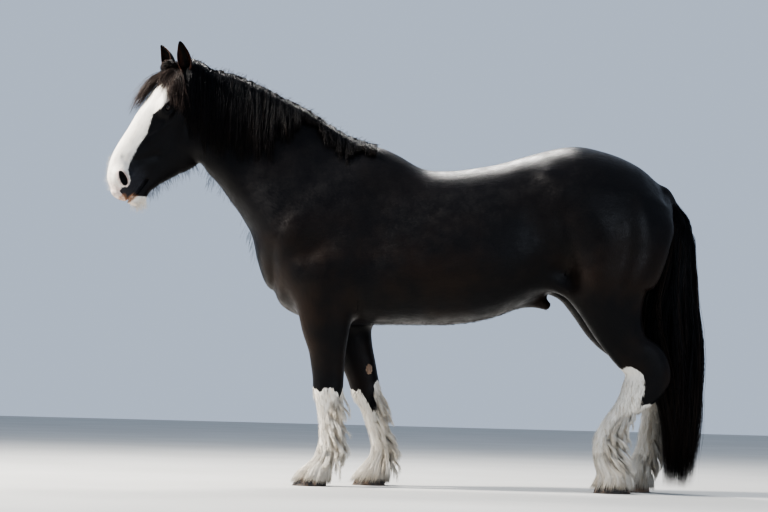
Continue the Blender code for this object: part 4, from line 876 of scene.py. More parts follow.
def keep_largest(obj):
    """Keep only the largest closed surface of a mesh."""
    work = bmesh.new()
    work.from_mesh(obj.data)
    left = set(work.verts)
    groups = []
    while left:
        group = {left.pop()}
        edge = list(group)
        while edge:
            for link in edge.pop().link_edges:
                for other in link.verts:
                    if other in left:
                        left.remove(other)
                        group.add(other)
                        edge.append(other)
        groups.append(group)
    groups.sort(key=len)
    bmesh.ops.delete(work, geom=[vertex for group in groups[:-1] for vertex in group], context="VERTS")
    work.to_mesh(obj.data)
    work.free()


# Back edge of the white face, on both sides: distance from the poll, then to the front
BLAZE = ((0.105, 0.120), (0.145, 0.066), (0.190, 0.026), (0.232, 0.014), (0.285, 0.036), (0.344, 0.054),
         (0.381, 0.047), (0.450, 0.033), (0.483, 0.038), (0.529, 0.045), (0.595, 0.047), (0.624, 0.045),
         (0.661, 0.038), (0.685, 0.020), (0.708, 0.001), (0.740, 0.001), (0.756, 0.026), (0.778, 0.026),
         (0.787, -0.004), (0.800, -0.030), (0.820, -0.045))
# White of each leg: height of its edge in front and behind, how deep the dark dips into it,
# and where round the leg, from straight ahead and outwards
STOCKINGS = {
    "foreleg_left": (0.498, 0.505, 0.060, 2.60, 0.20),
    "foreleg_right": (0.500, 0.548, 0.150, -1.70, 0.40),
    "hindleg_left": (0.660, 0.465, 0.030, 2.20, 0.30),
    "hindleg_right": (0.520, 0.480, 0.050, -2.00, 0.40),
}


def white_edge(points):
    """How far each place lies inside the white of the coat; negative where the coat is black."""
    along, front, left = in_head(points)
    line = np.interp(along, [row[0] for row in BLAZE], [row[1] for row in BLAZE])
    face = np.where((along > 0.12) & (along < 0.87) & (np.abs(left) < 0.2), 0.8 * (front - line), -0.2)
    chin = np.minimum(0.9 * (along - 0.766 - 0.47 * (front + 0.05)), -0.046 - front)
    face = np.maximum(face, np.where((along > 0.6) & (front > -0.2) & (along < 0.87), chin, -0.2))
    leg, middle = leg_of(points)
    rows = np.array(list(STOCKINGS.values()))[leg]
    outward = np.where(middle[:, 1] < 0.0, -1.0, 1.0)
    angle = np.arctan2(outward * (points[:, 1] - middle[:, 1]), middle[:, 0] - points[:, 0])
    turn = np.abs((angle - rows[:, 3] + math.pi) % (2.0 * math.pi) - math.pi)
    height = 0.5 * (rows[:, 0] + rows[:, 1]) + 0.5 * (rows[:, 0] - rows[:, 1]) * np.cos(angle)
    height -= rows[:, 2] * np.exp(-(turn / rows[:, 4]) ** 2)
    height += 0.010 * np.sin(5.0 * angle + 2.0 * leg) + 0.006 * np.sin(11.0 * angle + leg)
    return np.clip(np.maximum(face, height - points[:, 2]), -0.2, 0.2)


def bare_skin(points):
    """How pink and tan the thinly haired skin of the muzzle is, how much slate-grey painted sheen lies on
    the nose's sides, and where painted shade darkens nostrils and eyes.
    """
    along, front, left = in_head(points)
    side = (along < 0.9) & (np.abs(left) < 0.2)
    muzzle = smooth_between(0.58, 0.68, along) * side
    rim = ellipsoid(points, NOSTRIL_RIM, (0.038, 0.021, 0.030), NOSTRIL_TURN)
    pink = 0.75 * muzzle * smooth_between(0.020, 0.002, rim) * (np.abs(left) > 0.02)
    pink = np.maximum(pink, 0.55 * muzzle * smooth_between(0.735, 0.775, along) * (front > -0.03))
    # slate: how much grey-blue painted sheen, the sky's reflection on sleek hair, covers the nose's sides
    slate = muzzle * smooth_between(-0.090, -0.045, front) * smooth_between(0.075, 0.030, front)
    lips = from_line(along, front, MOUTH_LINE)
    tan = smooth_between(0.74, 0.765, along) * side * smooth_between(0.022, 0.008, lips)
    edge = np.hypot(along - 0.795, front + 0.010)
    tan = np.maximum(tan, 0.9 * side * smooth_between(0.026, 0.012, edge))
    lower_lip = side * (front < -0.030) * (front > -0.16)
    tan = np.maximum(tan, 0.55 * lower_lip * smooth_between(0.772, 0.806, along))
    # Painted shade: near black inside the nostrils and round the eye openings
    hollow_shade = side * smooth_between(0.0040, 0.0005, nostril_hole(points)) * (np.abs(left) > 0.015)
    lids = np.minimum(*(eye_distance(points, s) for s in (1.0, -1.0)))
    hollow_shade = np.maximum(hollow_shade, 0.75 * smooth_between(0.026, 0.019, lids))
    return pink, slate, tan, hollow_shade


def eye_distance(points, side):
    """How far each point lies from the middle of an eye's opening."""
    centre, out, _, _ = eye_frame(side)
    return np.linalg.norm(points - centre - out * EYE_RADIUS, axis=1)


# Charts of the skin: corner in the map, scale, lowest distance along and half way round, in metres
CHARTS = ((0.02, 0.05, 2.30, -0.05, 0.38), (2.25, 0.02, 0.70, -0.80, 1.18), (2.25, 1.80, 0.88, -0.15, 0.66),
          (0.02, 2.00, 1.00, -1.60, 0.33), (0.02, 2.72, 1.00, -1.60, 0.33), (0.02, 3.44, 1.00, -1.60, 0.33),
          (2.25, 3.10, 1.00, -1.60, 0.33))
CHART_WIDTH = 4.20
NECK_START = np.array((-1.170, 0.0, 1.960))
NECK_RUN = unit(np.array((1.0, 0.0, -0.50)))


def chart_of(points):
    """Which chart each place belongs to: head, trunk, neck or one of the legs."""
    made = lofts()
    head = np.minimum(made["face"].distance(points), made["jaw"].distance(points))
    away = [head, made["trunk"].distance(points), made["neck"].distance(points)]
    away += [made[name].distance(points) for name in ("near_fore", "far_fore", "near_hind", "far_hind")]
    return np.array(away).argmin(axis=0)


def around(points, chart, about=None):
    """Metres along the lie of the coat and round it, in each place's own chart."""
    along, front, left = in_head(points)
    _, middle = leg_of(points)
    run = (points - NECK_START) @ NECK_RUN
    rise = (points - NECK_START) @ np.cross(NECK_RUN, (0.0, 1.0, 0.0))
    side = points[:, 1]
    leg_angle = np.arctan2(points[:, 1] - middle[:, 1], middle[:, 0] - points[:, 0])
    angle = np.select([chart == 0, chart == 1, chart == 2],
                      [np.arctan2(left, front + 0.05), np.arctan2(side, points[:, 2] - 1.30),
                       np.arctan2(side, -rise)], leg_angle)
    length = np.select([chart == 0, chart == 1, chart == 2], [along, points[:, 0], run], -points[:, 2])
    reach = np.select([chart == 0, chart == 1, chart == 2], [0.11, 0.36, 0.20], 0.10)
    if about is not None:
        angle = about + (angle - about + math.pi) % (2.0 * math.pi) - math.pi
    return length, angle, reach


def bake_place(points):
    """Each place's spot on the unwrapped skin, from 0 to 1."""
    chart = chart_of(points)
    length, angle, reach = around(points, chart)
    rows = np.array(CHARTS)[chart]
    u = rows[:, 0] + rows[:, 2] * np.clip(length - rows[:, 3], 0.0, 2.6)
    v = rows[:, 1] + rows[:, 2] * (angle * reach + rows[:, 4])
    return np.column_stack([u, v]) / CHART_WIDTH


def write_map(mesh, name, places):
    layer = mesh.uv_layers.new(name=name)
    layer.data.foreach_set("uv", places.astype(np.float32).ravel())


def point_attribute(mesh, name, values):
    layer = mesh.attributes.new(name, "FLOAT", "POINT")
    layer.data.foreach_set("value", np.asarray(values, dtype=np.float32))


def map_skin(mesh):
    """Unwrap the skin: one map in metres along the coat's lie for its fur, and one for baking."""
    points = vertex_array(mesh)
    corner = read_array(mesh.loops, "vertex_index", 1, np.int32)
    sizes = read_array(mesh.polygons, "loop_total", 1, np.int32)
    face = np.repeat(np.arange(len(sizes)), sizes)
    middle = np.zeros((len(sizes), 3))
    np.add.at(middle, face, points[corner])
    middle /= sizes[:, None]
    chart = chart_of(middle)
    _, about, _ = around(middle, chart)
    length, angle, reach = around(points[corner], chart[face], about[face])
    write_map(mesh, "FurLie", np.column_stack([length, angle * reach]))
    rows = np.array(CHARTS)[chart[face]]
    u = rows[:, 0] + rows[:, 2] * (length - rows[:, 3])
    v = rows[:, 1] + rows[:, 2] * (angle * reach + rows[:, 4])
    write_map(mesh, "OFBake", np.column_stack([u, v]) / CHART_WIDTH)


def mark_skin(mesh):
    """Write the coat's markings to the skin's vertices, with the muzzle's painted sheen and painted shade.
    """
    points = vertex_array(mesh)
    pink, slate, tan, hollow_shade = bare_skin(points)
    for name, values in (("white", white_edge(points)), ("pink", pink), ("slate", slate), ("tan", tan),
                         ("hollow_shade", hollow_shade)):
        point_attribute(mesh, name, values)


class Nodes:
    """A small helper that adds shader nodes and links them in one call each."""

    def __init__(self, name):
        self.material = bpy.data.materials.new(name)
        self.material.use_nodes = True
        self.tree = self.material.node_tree
        self.shader = self.tree.nodes["Principled BSDF"]

    def fill(self, socket, value):
        """Link a socket, or give it a number, a vector or a colour."""
        if isinstance(value, bpy.types.NodeSocket):
            self.tree.links.new(value, socket)
        elif socket.type == "RGBA":
            socket.default_value = (*value, 1.0)
        else:
            socket.default_value = value

    def add(self, kind, inputs=None, **settings):
        node = self.tree.nodes.new(kind)
        for key, value in settings.items():
            setattr(node, key, value)
        for key, value in (inputs or {}).items():
            self.fill(node.inputs[key], value)
        return node

    def attribute(self, name):
        return self.add("ShaderNodeAttribute", attribute_name=name).outputs["Fac"]

    def noise(self, vector, scale, detail, rough):
        inputs = {"Vector": vector, "Scale": scale, "Detail": detail, "Roughness": rough}
        return self.add("ShaderNodeTexNoise", inputs).outputs["Fac"]

    def grain(self, vector, stretch, detail, rough):
        """Noise with its own scale along each axis."""
        drawn = self.add("ShaderNodeMapping", {"Vector": vector, "Scale": stretch}).outputs["Vector"]
        return self.noise(drawn, 1.0, detail, rough)

    def math(self, operation, a, b):
        node = self.add("ShaderNodeMath", operation=operation)
        self.fill(node.inputs[0], a)
        self.fill(node.inputs[1], b)
        return node.outputs[0]

    def plus(self, a, b):
        return self.math("ADD", a, b)

    def times(self, a, b):
        return self.math("MULTIPLY", a, b)

    def between(self, value, low, high, to_low=0.0, to_high=1.0):
        inputs = {"Value": value, "From Min": low, "From Max": high, "To Min": to_low, "To Max": to_high}
        return self.add("ShaderNodeMapRange", inputs, interpolation_type="SMOOTHSTEP").outputs["Result"]

    def mix(self, share, a, b):
        node = self.add("ShaderNodeMix", data_type="RGBA")
        for number, value in ((0, share), (6, a), (7, b)):
            self.fill(node.inputs[number], value)
        return node.outputs[2]

    def bump(self, height, strength, distance, normal=None):
        inputs = {"Height": height, "Strength": strength, "Distance": distance}
        if normal is not None:
            inputs["Normal"] = normal
        return self.add("ShaderNodeBump", inputs).outputs["Normal"]

    def set(self, **values):
        for key, value in values.items():
            self.fill(self.shader.inputs[key.replace("_", " ")], value)
        return self.material


BLACK_COAT = (0.0060, 0.0056, 0.0066)
BROWN_COAT = (0.0240, 0.0140, 0.0090)
WHITE_COAT = (0.80, 0.76, 0.69)
GREY_COAT = (0.56, 0.52, 0.47)
COAT_SHEEN = (0.55, 0.68, 1.0)


def coat_material():
    """Short sleek hair: streaks along its lie, black, brown in broad patches that grow towards the bottom,
    and white, with painted sheen on the nose and painted shade in the nostrils and round the eyes.
    """
    n = Nodes("black_coat")
    place = n.add("ShaderNodeUVMap", uv_map="FurLie").outputs["UV"]
    where = n.add("ShaderNodeTexCoord").outputs["Object"]
    streaks = n.grain(place, (60.0, 420.0, 1.0), 4.0, 0.65)
    clumps = n.grain(place, (14.0, 70.0, 1.0), 3.0, 0.6)
    broad = n.noise(where, 3.0, 3.0, 0.55)
    fine = n.grain(place, (160.0, 1100.0, 1.0), 2.0, 0.6)
    ragged = n.plus(n.times(n.math("SUBTRACT", streaks, 0.5), 0.030),
                    n.times(n.math("SUBTRACT", broad, 0.5), 0.014))
    white = n.between(n.plus(n.attribute("white"), ragged), -0.0030, 0.0030)
    # Brown in broad patches, more of it lower down the body
    height = n.add("ShaderNodeSeparateXYZ", {"Vector": where}).outputs["Z"]
    low = n.between(height, 1.55, 1.00, 0.15, 1.0)
    brown_share = n.times(n.between(broad, 0.40, 0.68), low)
    dark = n.mix(n.times(brown_share, 0.85), BLACK_COAT, BROWN_COAT)
    dark = n.mix(n.between(streaks, 0.35, 0.75, 0.0, 0.35), dark, (0.016, 0.013, 0.013))
    pale = n.mix(n.between(clumps, 0.40, 0.72, 0.0, 0.55), WHITE_COAT, GREY_COAT)
    pale = n.mix(n.between(fine, 0.50, 0.80, 0.0, 0.25), pale, (0.42, 0.37, 0.32))
    colour = n.mix(white, dark, pale)
    mottle = n.between(n.noise(where, 90.0, 4.0, 0.6), 0.40, 0.62)
    pink = n.times(n.attribute("pink"), n.between(mottle, 0.0, 1.0, 0.45, 0.90))
    colour = n.mix(n.times(pink, white), colour, (0.48, 0.30, 0.26))
    # Painted sheen: slate grey-blue on the nose's sides, where the sky would reflect from the sleek hair
    painted_sheen = n.times(n.attribute("slate"), n.math("SUBTRACT", 1.0, white))
    colour = n.mix(n.times(painted_sheen, n.between(mottle, 0.0, 1.0, 0.70, 0.95)), colour,
                   (0.036, 0.036, 0.043))
    colour = n.mix(n.times(n.attribute("tan"), n.between(mottle, 0.0, 1.0, 0.55, 0.85)), colour,
                   (0.36, 0.19, 0.105))
    # Painted shade: near black inside the nostrils and round the eye openings
    colour = n.mix(n.attribute("hollow_shade"), colour, (0.0050, 0.0035, 0.0035))
    patches = n.noise(where, 16.0, 3.0, 0.6)
    dapple = n.noise(where, 42.0, 3.0, 0.7)
    relief = n.plus(n.times(clumps, 0.60), n.times(streaks, 0.40))
    normal = n.bump(n.plus(patches, n.times(dapple, 0.30)), 0.14, 0.0120)
    normal = n.bump(relief, 0.34, 0.0050, normal)
    normal = n.bump(fine, 0.30, 0.0012, normal)
    rough = n.between(n.plus(streaks, patches), 0.70, 1.30, 0.28, 0.52)
    rough = n.plus(n.times(white, 0.20), rough)
    return n.set(Base_Color=colour, Roughness=rough, Normal=normal, Specular_IOR_Level=0.22,
                 Sheen_Weight=0.02, Sheen_Roughness=0.30, Sheen_Tint=COAT_SHEEN)


def smooth_faces(obj):
    obj.data.polygons.foreach_set("use_smooth", np.ones(len(obj.data.polygons), dtype=bool))
    obj.data.update()


def eye_object(name, side):
    """The eyeball with its bulging cornea, and where each point lies round the pupil."""
    centre, out, corner, rise = eye_frame(side)
    bpy.ops.mesh.primitive_uv_sphere_add(segments=64, ring_count=40, radius=EYE_RADIUS)
    obj = bpy.context.active_object
    obj.name = name
    local = vertex_array(obj.data)
    turned = local[:, 2:3] * out + local[:, 0:1] * corner + local[:, 1:2] * rise
    tilt = np.arccos(np.clip(turned @ out / EYE_RADIUS, -1.0, 1.0))
    swell = 1.0 + 0.040 * smooth_between(0.80, 0.35, tilt)
    set_vertices(obj.data, centre + turned * swell[:, None])
    point_attribute(obj.data, "across", turned @ corner)
    point_attribute(obj.data, "up", turned @ rise)
    if np.linalg.det(np.array((corner, rise, out))) < 0.0:
        obj.data.flip_normals()
    smooth_faces(obj)
    return obj


def eye_material():
    """Dark brown iris with fine radial fibres, a wide pupil, and a wet clear surface."""
    n = Nodes("eye")
    across = n.attribute("across")
    up = n.attribute("up")
    square = n.plus(n.times(across, across), n.times(up, up))
    away = n.math("POWER", square, 0.5)
    pupil_up = n.times(up, 1.75)
    pupil = n.math("POWER", n.plus(n.times(across, across),
                                   n.times(pupil_up, pupil_up)), 0.5)
    turn = n.math("ARCTAN2", up, across)
    ring = n.add("ShaderNodeCombineXYZ", {"X": n.times(turn, 9.0),
                                          "Y": n.times(away, 140.0)}).outputs["Vector"]
    fibres = n.noise(ring, 2.2, 4.0, 0.7)
    iris = n.mix(n.between(fibres, 0.35, 0.70), (0.010, 0.004, 0.0025), (0.034, 0.014, 0.006))
    iris = n.mix(n.between(away, 0.0105, 0.0145), iris, (0.012, 0.006, 0.004))
    colour = n.mix(n.between(pupil, 0.0088, 0.0104), (0.0012, 0.0012, 0.0016), iris)
    colour = n.mix(n.between(away, 0.0148, 0.0172), colour, (0.012, 0.007, 0.006))
    return n.set(Base_Color=colour, Roughness=0.20, Specular_IOR_Level=0.4, Coat_Weight=0.35,
                 Coat_Roughness=0.02)


def fine_ear(name):
    """The outer ear, finer than in the solids, with the depth of its cup at every point."""
    obj = ear_object(name)
    obj.name = "fine_" + name
    for _ in range(3):
        smooth_step(obj.data, 0.4)
    face_outwards(obj)
    start, axis, length, opening = ear_axes(name)
    points = vertex_array(obj.data)
    share = (points - start) @ axis / length
    facing = normal_array(obj.data) @ opening
    across = np.abs((points - start) @ np.cross(axis, opening)) / 0.036
    point_attribute(obj.data, "across", across)
    point_attribute(obj.data, "inside", facing)
    point_attribute(obj.data, "share", share)
    smooth_faces(obj)
    return obj


def ear_material():
    n = Nodes("ear_coat")
    where = n.add("ShaderNodeTexCoord").outputs["Object"]
    hair = n.grain(where, (420.0, 420.0, 60.0), 4.0, 0.65)
    broad = n.noise(where, 60.0, 3.0, 0.6)
    inner = n.mix(n.between(hair, 0.40, 0.62), (0.020, 0.010, 0.008), (0.085, 0.036, 0.022))
    # Painted shade: the inner hair goes near black towards the middle of the cup, where it lies deepest
    inner = n.mix(n.between(n.attribute("across"), 0.55, 0.10), inner, (0.0060, 0.0045, 0.0045))
    outer = n.mix(n.between(hair, 0.42, 0.70), BLACK_COAT, BROWN_COAT)
    facing = n.plus(n.attribute("inside"), n.times(n.math("SUBTRACT", broad, 0.5), 0.5))
    colour = n.mix(n.between(facing, 0.10, 0.45), outer, inner)
    normal = n.bump(hair, 0.45, 0.0016)
    return n.set(Base_Color=colour, Roughness=0.48, Normal=normal, Specular_IOR_Level=0.22,
                 Sheen_Weight=0.02, Sheen_Roughness=0.30, Sheen_Tint=COAT_SHEEN)


def fine_hoof(name, leg):
    """A hoof with fine growth rings round its wall."""
    obj = hoof_object(name, leg, 72, 22)
    x, y, front_high, back_high, _, _, lie_back = HOOVES[leg]
    points = vertex_array(obj.data)
    share = np.clip(points[:, 2] / (0.5 * (front_high + back_high)), 0.0, 1.3)
    middle = np.column_stack([x + lie_back * share, np.full(len(points), y)])
    offset = points[:, :2] - middle
    wave = 0.0009 * np.sin(44.0 * share) + 0.0006 * np.sin(71.0 * share + 1.3)
    wave *= smooth_between(0.02, 0.12, share)
    points[:, :2] += unit(offset + 1e-9) * (wave - 0.0010)[:, None]
    set_vertices(obj.data, points)
    point_attribute(obj.data, "share", share)
    smooth_faces(obj)
    bottom = obj.modifiers.new("edges", "EDGE_SPLIT")
    bottom.split_angle = math.radians(50.0)
    make_real(obj)
    return obj


def horn_material(name, pale):
    """Hoof horn: fine upright grain, growth rings and stained edges."""
    n = Nodes(name)
    where = n.add("ShaderNodeTexCoord").outputs["Object"]
    share = n.attribute("share")
    grain = n.grain(where, (260.0, 260.0, 22.0), 4.0, 0.6)
    patch = n.grain(where, (30.0, 30.0, 8.0), 3.0, 0.6)
    rings = n.grain(where, (4.0, 4.0, 300.0), 3.0, 0.6)
    tan = n.mix(n.between(grain, 0.35, 0.68), (0.34, 0.235, 0.165), (0.17, 0.115, 0.085))
    slate = n.mix(n.between(grain, 0.35, 0.68), (0.050, 0.046, 0.048), (0.022, 0.020, 0.021))
    low, high = (0.66, 0.92) if pale else (0.36, 0.52)
    colour = n.mix(n.between(patch, low, high), tan, slate)
    colour = n.mix(n.between(share, 0.16, 0.0, 0.0, 0.7), colour, (0.080, 0.060, 0.045))
    height = n.plus(grain, n.times(rings, 1.4))
    normal = n.bump(height, 0.35, 0.0012)
    return n.set(Base_Color=colour, Roughness=n.between(grain, 0.3, 0.7, 0.42, 0.62), Normal=normal)


CAMERA_PLACE = (-0.1154, -13.5, 0.46)
CAMERA_PITCH = math.radians(3.173)
CAMERA_ROLL = math.radians(1.491)
CAMERA_LENS = 120.38
SKY = (0.72, 0.83, 1.0)
SKY_STRENGTH = 0.55
# Soft lights: name, place, what it faces, width, power and colour
LIGHTS = (
    ("key", (-6.0, -0.8, 6.2), (-0.1, 0.0, 1.4), 1.2, 1350.0, (1.0, 0.95, 0.87)),
    ("rim", (-0.5, 4.6, 6.4), (0.2, 0.0, 1.6), 1.8, 380.0, (1.0, 0.97, 0.92)),
    ("fill", (4.5, -6.5, 3.0), (0.5, 0.0, 1.0), 4.0, 130.0, (0.84, 0.91, 1.0)),
)
FLOOR_LEVEL = -0.0005


def make_camera():
    """The photograph's camera: level with the knees, looking slightly up, a little rolled."""
    scene = bpy.context.scene
    data = bpy.data.cameras.new("camera")
    data.sensor_width = 36.0
    data.lens = CAMERA_LENS
    data.clip_end = 200.0
    camera = bpy.data.objects.new("camera", data)
    scene.collection.objects.link(camera)
    camera.matrix_world = (Matrix.Translation(Vector(CAMERA_PLACE))
                           @ Matrix.Rotation(math.pi / 2.0 + CAMERA_PITCH, 4, "X")
                           @ Matrix.Rotation(CAMERA_ROLL, 4, "Z"))
    scene.camera = camera


def area_light(name, place, aim, size, power, colour):
    data = bpy.data.lights.new(name, "AREA")
    data.shape = "DISK"
    data.size = size
    data.energy = power
    data.color = colour
    light = bpy.data.objects.new(name, data)
    bpy.context.scene.collection.objects.link(light)
    light.location = place
    light.rotation_euler = (Vector(aim) - Vector(place)).to_track_quat("-Z", "Y").to_euler()


def make_studio():
    """A pale floor, a pale sky-like surround and three soft lights."""
    world = bpy.data.worlds.new("studio")
    bpy.context.scene.world = world
    world.use_nodes = True
    sky = world.node_tree.nodes["Background"]
    sky.inputs["Color"].default_value = (*SKY, 1.0)
    sky.inputs["Strength"].default_value = SKY_STRENGTH
    for light in LIGHTS:
        area_light(*light)
    bpy.context.scene.view_settings.look = "AgX - High Contrast"
    bpy.ops.mesh.primitive_plane_add(size=60.0, location=(0.0, 0.0, FLOOR_LEVEL))
    floor = bpy.context.active_object
    floor.name = "floor"
    n = Nodes("pale_floor")
    where = n.add("ShaderNodeTexCoord").outputs["Object"]
    cloud = n.noise(where, 0.8, 3.0, 0.5)
    colour = n.mix(n.between(cloud, 0.3, 0.7), (0.47, 0.465, 0.45), (0.51, 0.505, 0.49))
    floor.data.materials.append(n.set(Base_Color=colour, Roughness=0.9))


# Share of a hair's length from its root, and share of its full width there
HAIR_TAPER = ((0.0, 0.55), (0.20, 1.0), (0.60, 0.85), (0.90, 0.42), (1.0, 0.15))
# Size of each hair's own patch in the baked map
PATCH = 0.003


def hair_piece(name, paths, outward, width, white, tone, thick=0.45):
    """One mesh of closed three-sided hairs, each along its own path and tapered to a tip."""
    count, rows, _ = paths.shape
    share = np.linspace(0.0, 1.0, rows)
    taper = np.interp(share[:-1], [row[0] for row in HAIR_TAPER], [row[1] for row in HAIR_TAPER])
    tangent = unit(np.gradient(paths, axis=1) + 1e-12)
    across = unit(np.cross(tangent, outward) + 1e-12)
    up = np.cross(across, tangent)
    half = (0.5 * width[:, None] * taper)[..., None]
    body = paths[:, :-1]
    ring = np.stack([body - across[:, :-1] * half, body + up[:, :-1] * half * 2.0 * thick,
                     body + across[:, :-1] * half], axis=2)
    each = 3 * (rows - 1) + 1
    points = np.concatenate([ring.reshape(count, each - 1, 3), paths[:, -1:]], axis=1)
    start = np.arange(count)[:, None] * each
    quads = []
    for j in range(rows - 2):
        for k in range(3):
            n = (k + 1) % 3
            quads.append((3 * j + k, 3 * j + n, 3 * j + 3 + n, 3 * j + 3 + k))
    last = 3 * (rows - 2)
    threes = [(last + k, last + (k + 1) % 3, each - 1) for k in range(3)] + [(2, 1, 0)]
    quads = np.array(quads).ravel()[None, :] + start
    threes = np.array(threes).ravel()[None, :] + start
    corners = np.concatenate([quads, threes], axis=1)
    sizes = np.array([4] * (quads.shape[1] // 4) + [3] * (threes.shape[1] // 3))
    starts = np.concatenate([[0], np.cumsum(sizes)[:-1]])[None, :] + np.arange(count)[:, None] * sizes.sum()
    mesh = bpy.data.meshes.new(name)
    mesh.vertices.add(count * each)
    mesh.vertices.foreach_set("co", points.astype(np.float32).ravel())
    mesh.loops.add(corners.size)
    mesh.loops.foreach_set("vertex_index", corners.astype(np.int32).ravel())
    mesh.polygons.add(starts.size)
    mesh.polygons.foreach_set("loop_start", starts.astype(np.int32).ravel())
    mesh.polygons.foreach_set("use_smooth", np.ones(starts.size, dtype=bool))
    mesh.update(calc_edges=True)
    mesh.validate()
    side = np.append(np.tile((0.0, 0.5, 1.0), rows - 1), 0.5)
    down = np.append(np.repeat(share[:-1], 3), 1.0)
    place = bake_place(paths[:, 0])
    patch = np.column_stack([side, down]) * PATCH
    each_place = (place[:, None, :] + patch[None, :, :]).reshape(-1, 2)
    write_map(mesh, "OFBake", each_place[corners.ravel()])
    point_attribute(mesh, "side", np.tile(side, count))
    point_attribute(mesh, "share", np.tile(down, count))
    point_attribute(mesh, "white", np.repeat(white, each))
    point_attribute(mesh, "tone", np.repeat(tone, each))
    obj = bpy.data.objects.new(name, mesh)
    bpy.context.scene.collection.objects.link(obj)
    return obj


def tones(chance, which, by_lock, by_hair):
    """How light each hair is, from 0 to 1: partly by its lock and partly its own."""
    lock = by_lock * chance.random(which[-1] + 1)[which]
    return np.clip(lock + by_hair * chance.random(len(which)), 0.0, 1.0)


def along_guides(guides, which, share):
    """Points on each hair's own guide at some shares of its length."""
    spot = share * (guides.shape[1] - 1)
    low = np.clip(spot.astype(int), 0, guides.shape[1] - 2)
    part = (spot - low)[..., None]
    rows = which[:, None]
    return guides[rows, low] * (1.0 - part) + guides[rows, low + 1] * part


def comb(guides, outward, chance, per, rows, spread, gather, wave, short):
    """Hairs along guides. Each keeps its place in its bundle, which gathers towards the tip.

    per is how many hairs follow each guide, and rows how many points each has;
    spread is half the bundle's width and depth; wave is how far hairs stray, in metres;
    short is how much of a guide's length the shortest hairs leave out."""
    count = len(guides)
    which = np.repeat(np.arange(count), per)
    total = len(which)
    length = 1.0 - short * chance.random(total) ** 1.6
    share = np.linspace(0.0, 1.0, rows)[None, :] * length[:, None]
    middle = along_guides(guides, which, share)
    out = unit(along_guides(outward, which, share))
    side = unit(np.cross(np.gradient(middle, axis=1), out) + 1e-12)
    spin = chance.random(total) * 2.0 * math.pi
    reach = np.sqrt(chance.random(total))
    wide, deep = spread
    narrow = 1.0 - gather * share ** 0.8 + 0.25 * gather * smooth_between(0.75, 1.0, share)
    a = (reach * np.cos(spin) * wide)[:, None] * narrow
    b = (reach * np.sin(spin) * deep)[:, None] * narrow
    phase = chance.random((4, total, 1, 1)) * 2.0 * math.pi
    often = 2.0 + 5.0 * chance.random((2, total, 1, 1))
    grow = share[..., None] ** 1.3
    stray = wave * grow * (np.sin(often[0] * share[..., None] + phase[0]) * side
                           + 0.6 * np.sin(often[1] * share[..., None] + phase[1]) * out)
    fly = (chance.random((total, 1, 1)) < 0.06) * wave * 2.2 * grow
    stray += fly * (np.sin(phase[2]) * side + np.abs(np.sin(phase[3])) * out)
    paths = middle + side * a[..., None] + out * b[..., None] + stray
    return paths, out, which


def bulge_clear(paths, clear, first=1):
    """Push hairs that dip into the flesh out of it, up its own slope."""
    shape = paths[:, first:].shape
    flat = paths[:, first:].reshape(-1, 3)
    for _ in range(2):
        here, slope = slope_array(flat, flesh)
        flat = flat + slope * np.maximum(clear - here, 0.0)[:, None]
    result = paths.copy()
    result[:, first:] = flat.reshape(shape)
    return result


def meet_skin(inside, direction, reach):
    """Where lines from points inside the flesh leave it, going one way."""
    inside = np.asarray(inside, dtype=float)
    low = np.zeros(len(inside))
    high = np.full(len(inside), reach)
    for _ in range(18):
        middle = 0.5 * (low + high)
        out = flesh(inside + middle[:, None] * direction) > 0.0
        high = np.where(out, middle, high)
        low = np.where(out, low, middle)
    return inside + high[:, None] * direction


def table_at(table, value, column, wanted):
    """Read some columns of a table smoothly at many values of another."""
    rows = curve_through(table, 8)
    order = np.argsort(rows[:, column])
    return [np.interp(value, rows[order, column], rows[order, k]) for k in wanted]


# The tail's outer shape: x of its middle, z, half size in x, half size in y
TAIL_SHAPE = (
    (1.345, 1.595, 0.046, 0.050),
    (1.412, 1.500, 0.060, 0.066),
    (1.436, 1.350, 0.078, 0.080),
    (1.436, 1.150, 0.106, 0.088),
    (1.430, 0.900, 0.140, 0.088),
    (1.452, 0.650, 0.130, 0.086),
    (1.474, 0.440, 0.106, 0.086),
    (1.480, 0.300, 0.094, 0.084),
    (1.472, 0.160, 0.088, 0.080),
    (1.465, 0.020, 0.080, 0.074),
)
# Layers of the tail: name, locks, highest and lowest root, and least and most share of the outer shape
TAIL_LAYERS = (("outer", 72, 1.600, 1.440, 0.78, 1.02), ("middle", 64, 1.520, 1.340, 0.45, 0.86),
               ("inner", 52, 1.440, 1.300, 0.10, 0.60))
TAIL_LOWEST = 0.022
TAIL_HAIRS = 44


def tail_guides(count, top, bottom, least, most, chance):
    """Lines down the tail: from round the dock to ragged tips just above the ground."""
    guides = []
    outward = []
    for i in range(count):
        angle = 2.0 * math.pi * (i * 0.618 % 1.0)
        start = top + (bottom - top) * chance.random()
        end = TAIL_LOWEST - 0.004 + 0.26 * chance.random() ** 2.6
        z = start + (end - start) * np.linspace(0.0, 1.0, 26)
        x, long, wide = table_at(TAIL_SHAPE, z, 1, (0, 2, 3))
        lie = least + (most - least) * chance.random()
        fallen = start - z
        share = 0.15 + (lie - 0.15) * smooth_between(0.0, 0.16, fallen)
        share *= 1.0 + 0.09 * np.sin(8.0 * fallen + 6.0 * chance.random()) * smooth_between(0.1, 0.5, fallen)
        bend = angle + (0.9 * chance.random() - 0.45) * fallen + 0.16 * np.sin(6.0 * fallen + i)
        share = share * (1.0 - 0.10 * smooth_between(0.60, 1.0, (start - z) / (start - end)))
        share *= 1.0 + 0.45 * np.maximum(-np.cos(bend), 0.0) * np.exp(-((z - 1.00) / 0.17) ** 2)
        x = x - 0.016 * smooth_between(0.05, 0.50, fallen)
        guides.append(np.column_stack([x + long * share * np.cos(bend), wide * share * np.sin(bend), z]))
        outward.append(np.column_stack([np.cos(bend), np.sin(bend), np.full(26, 0.1)]))
    return np.array(guides), np.array(outward)


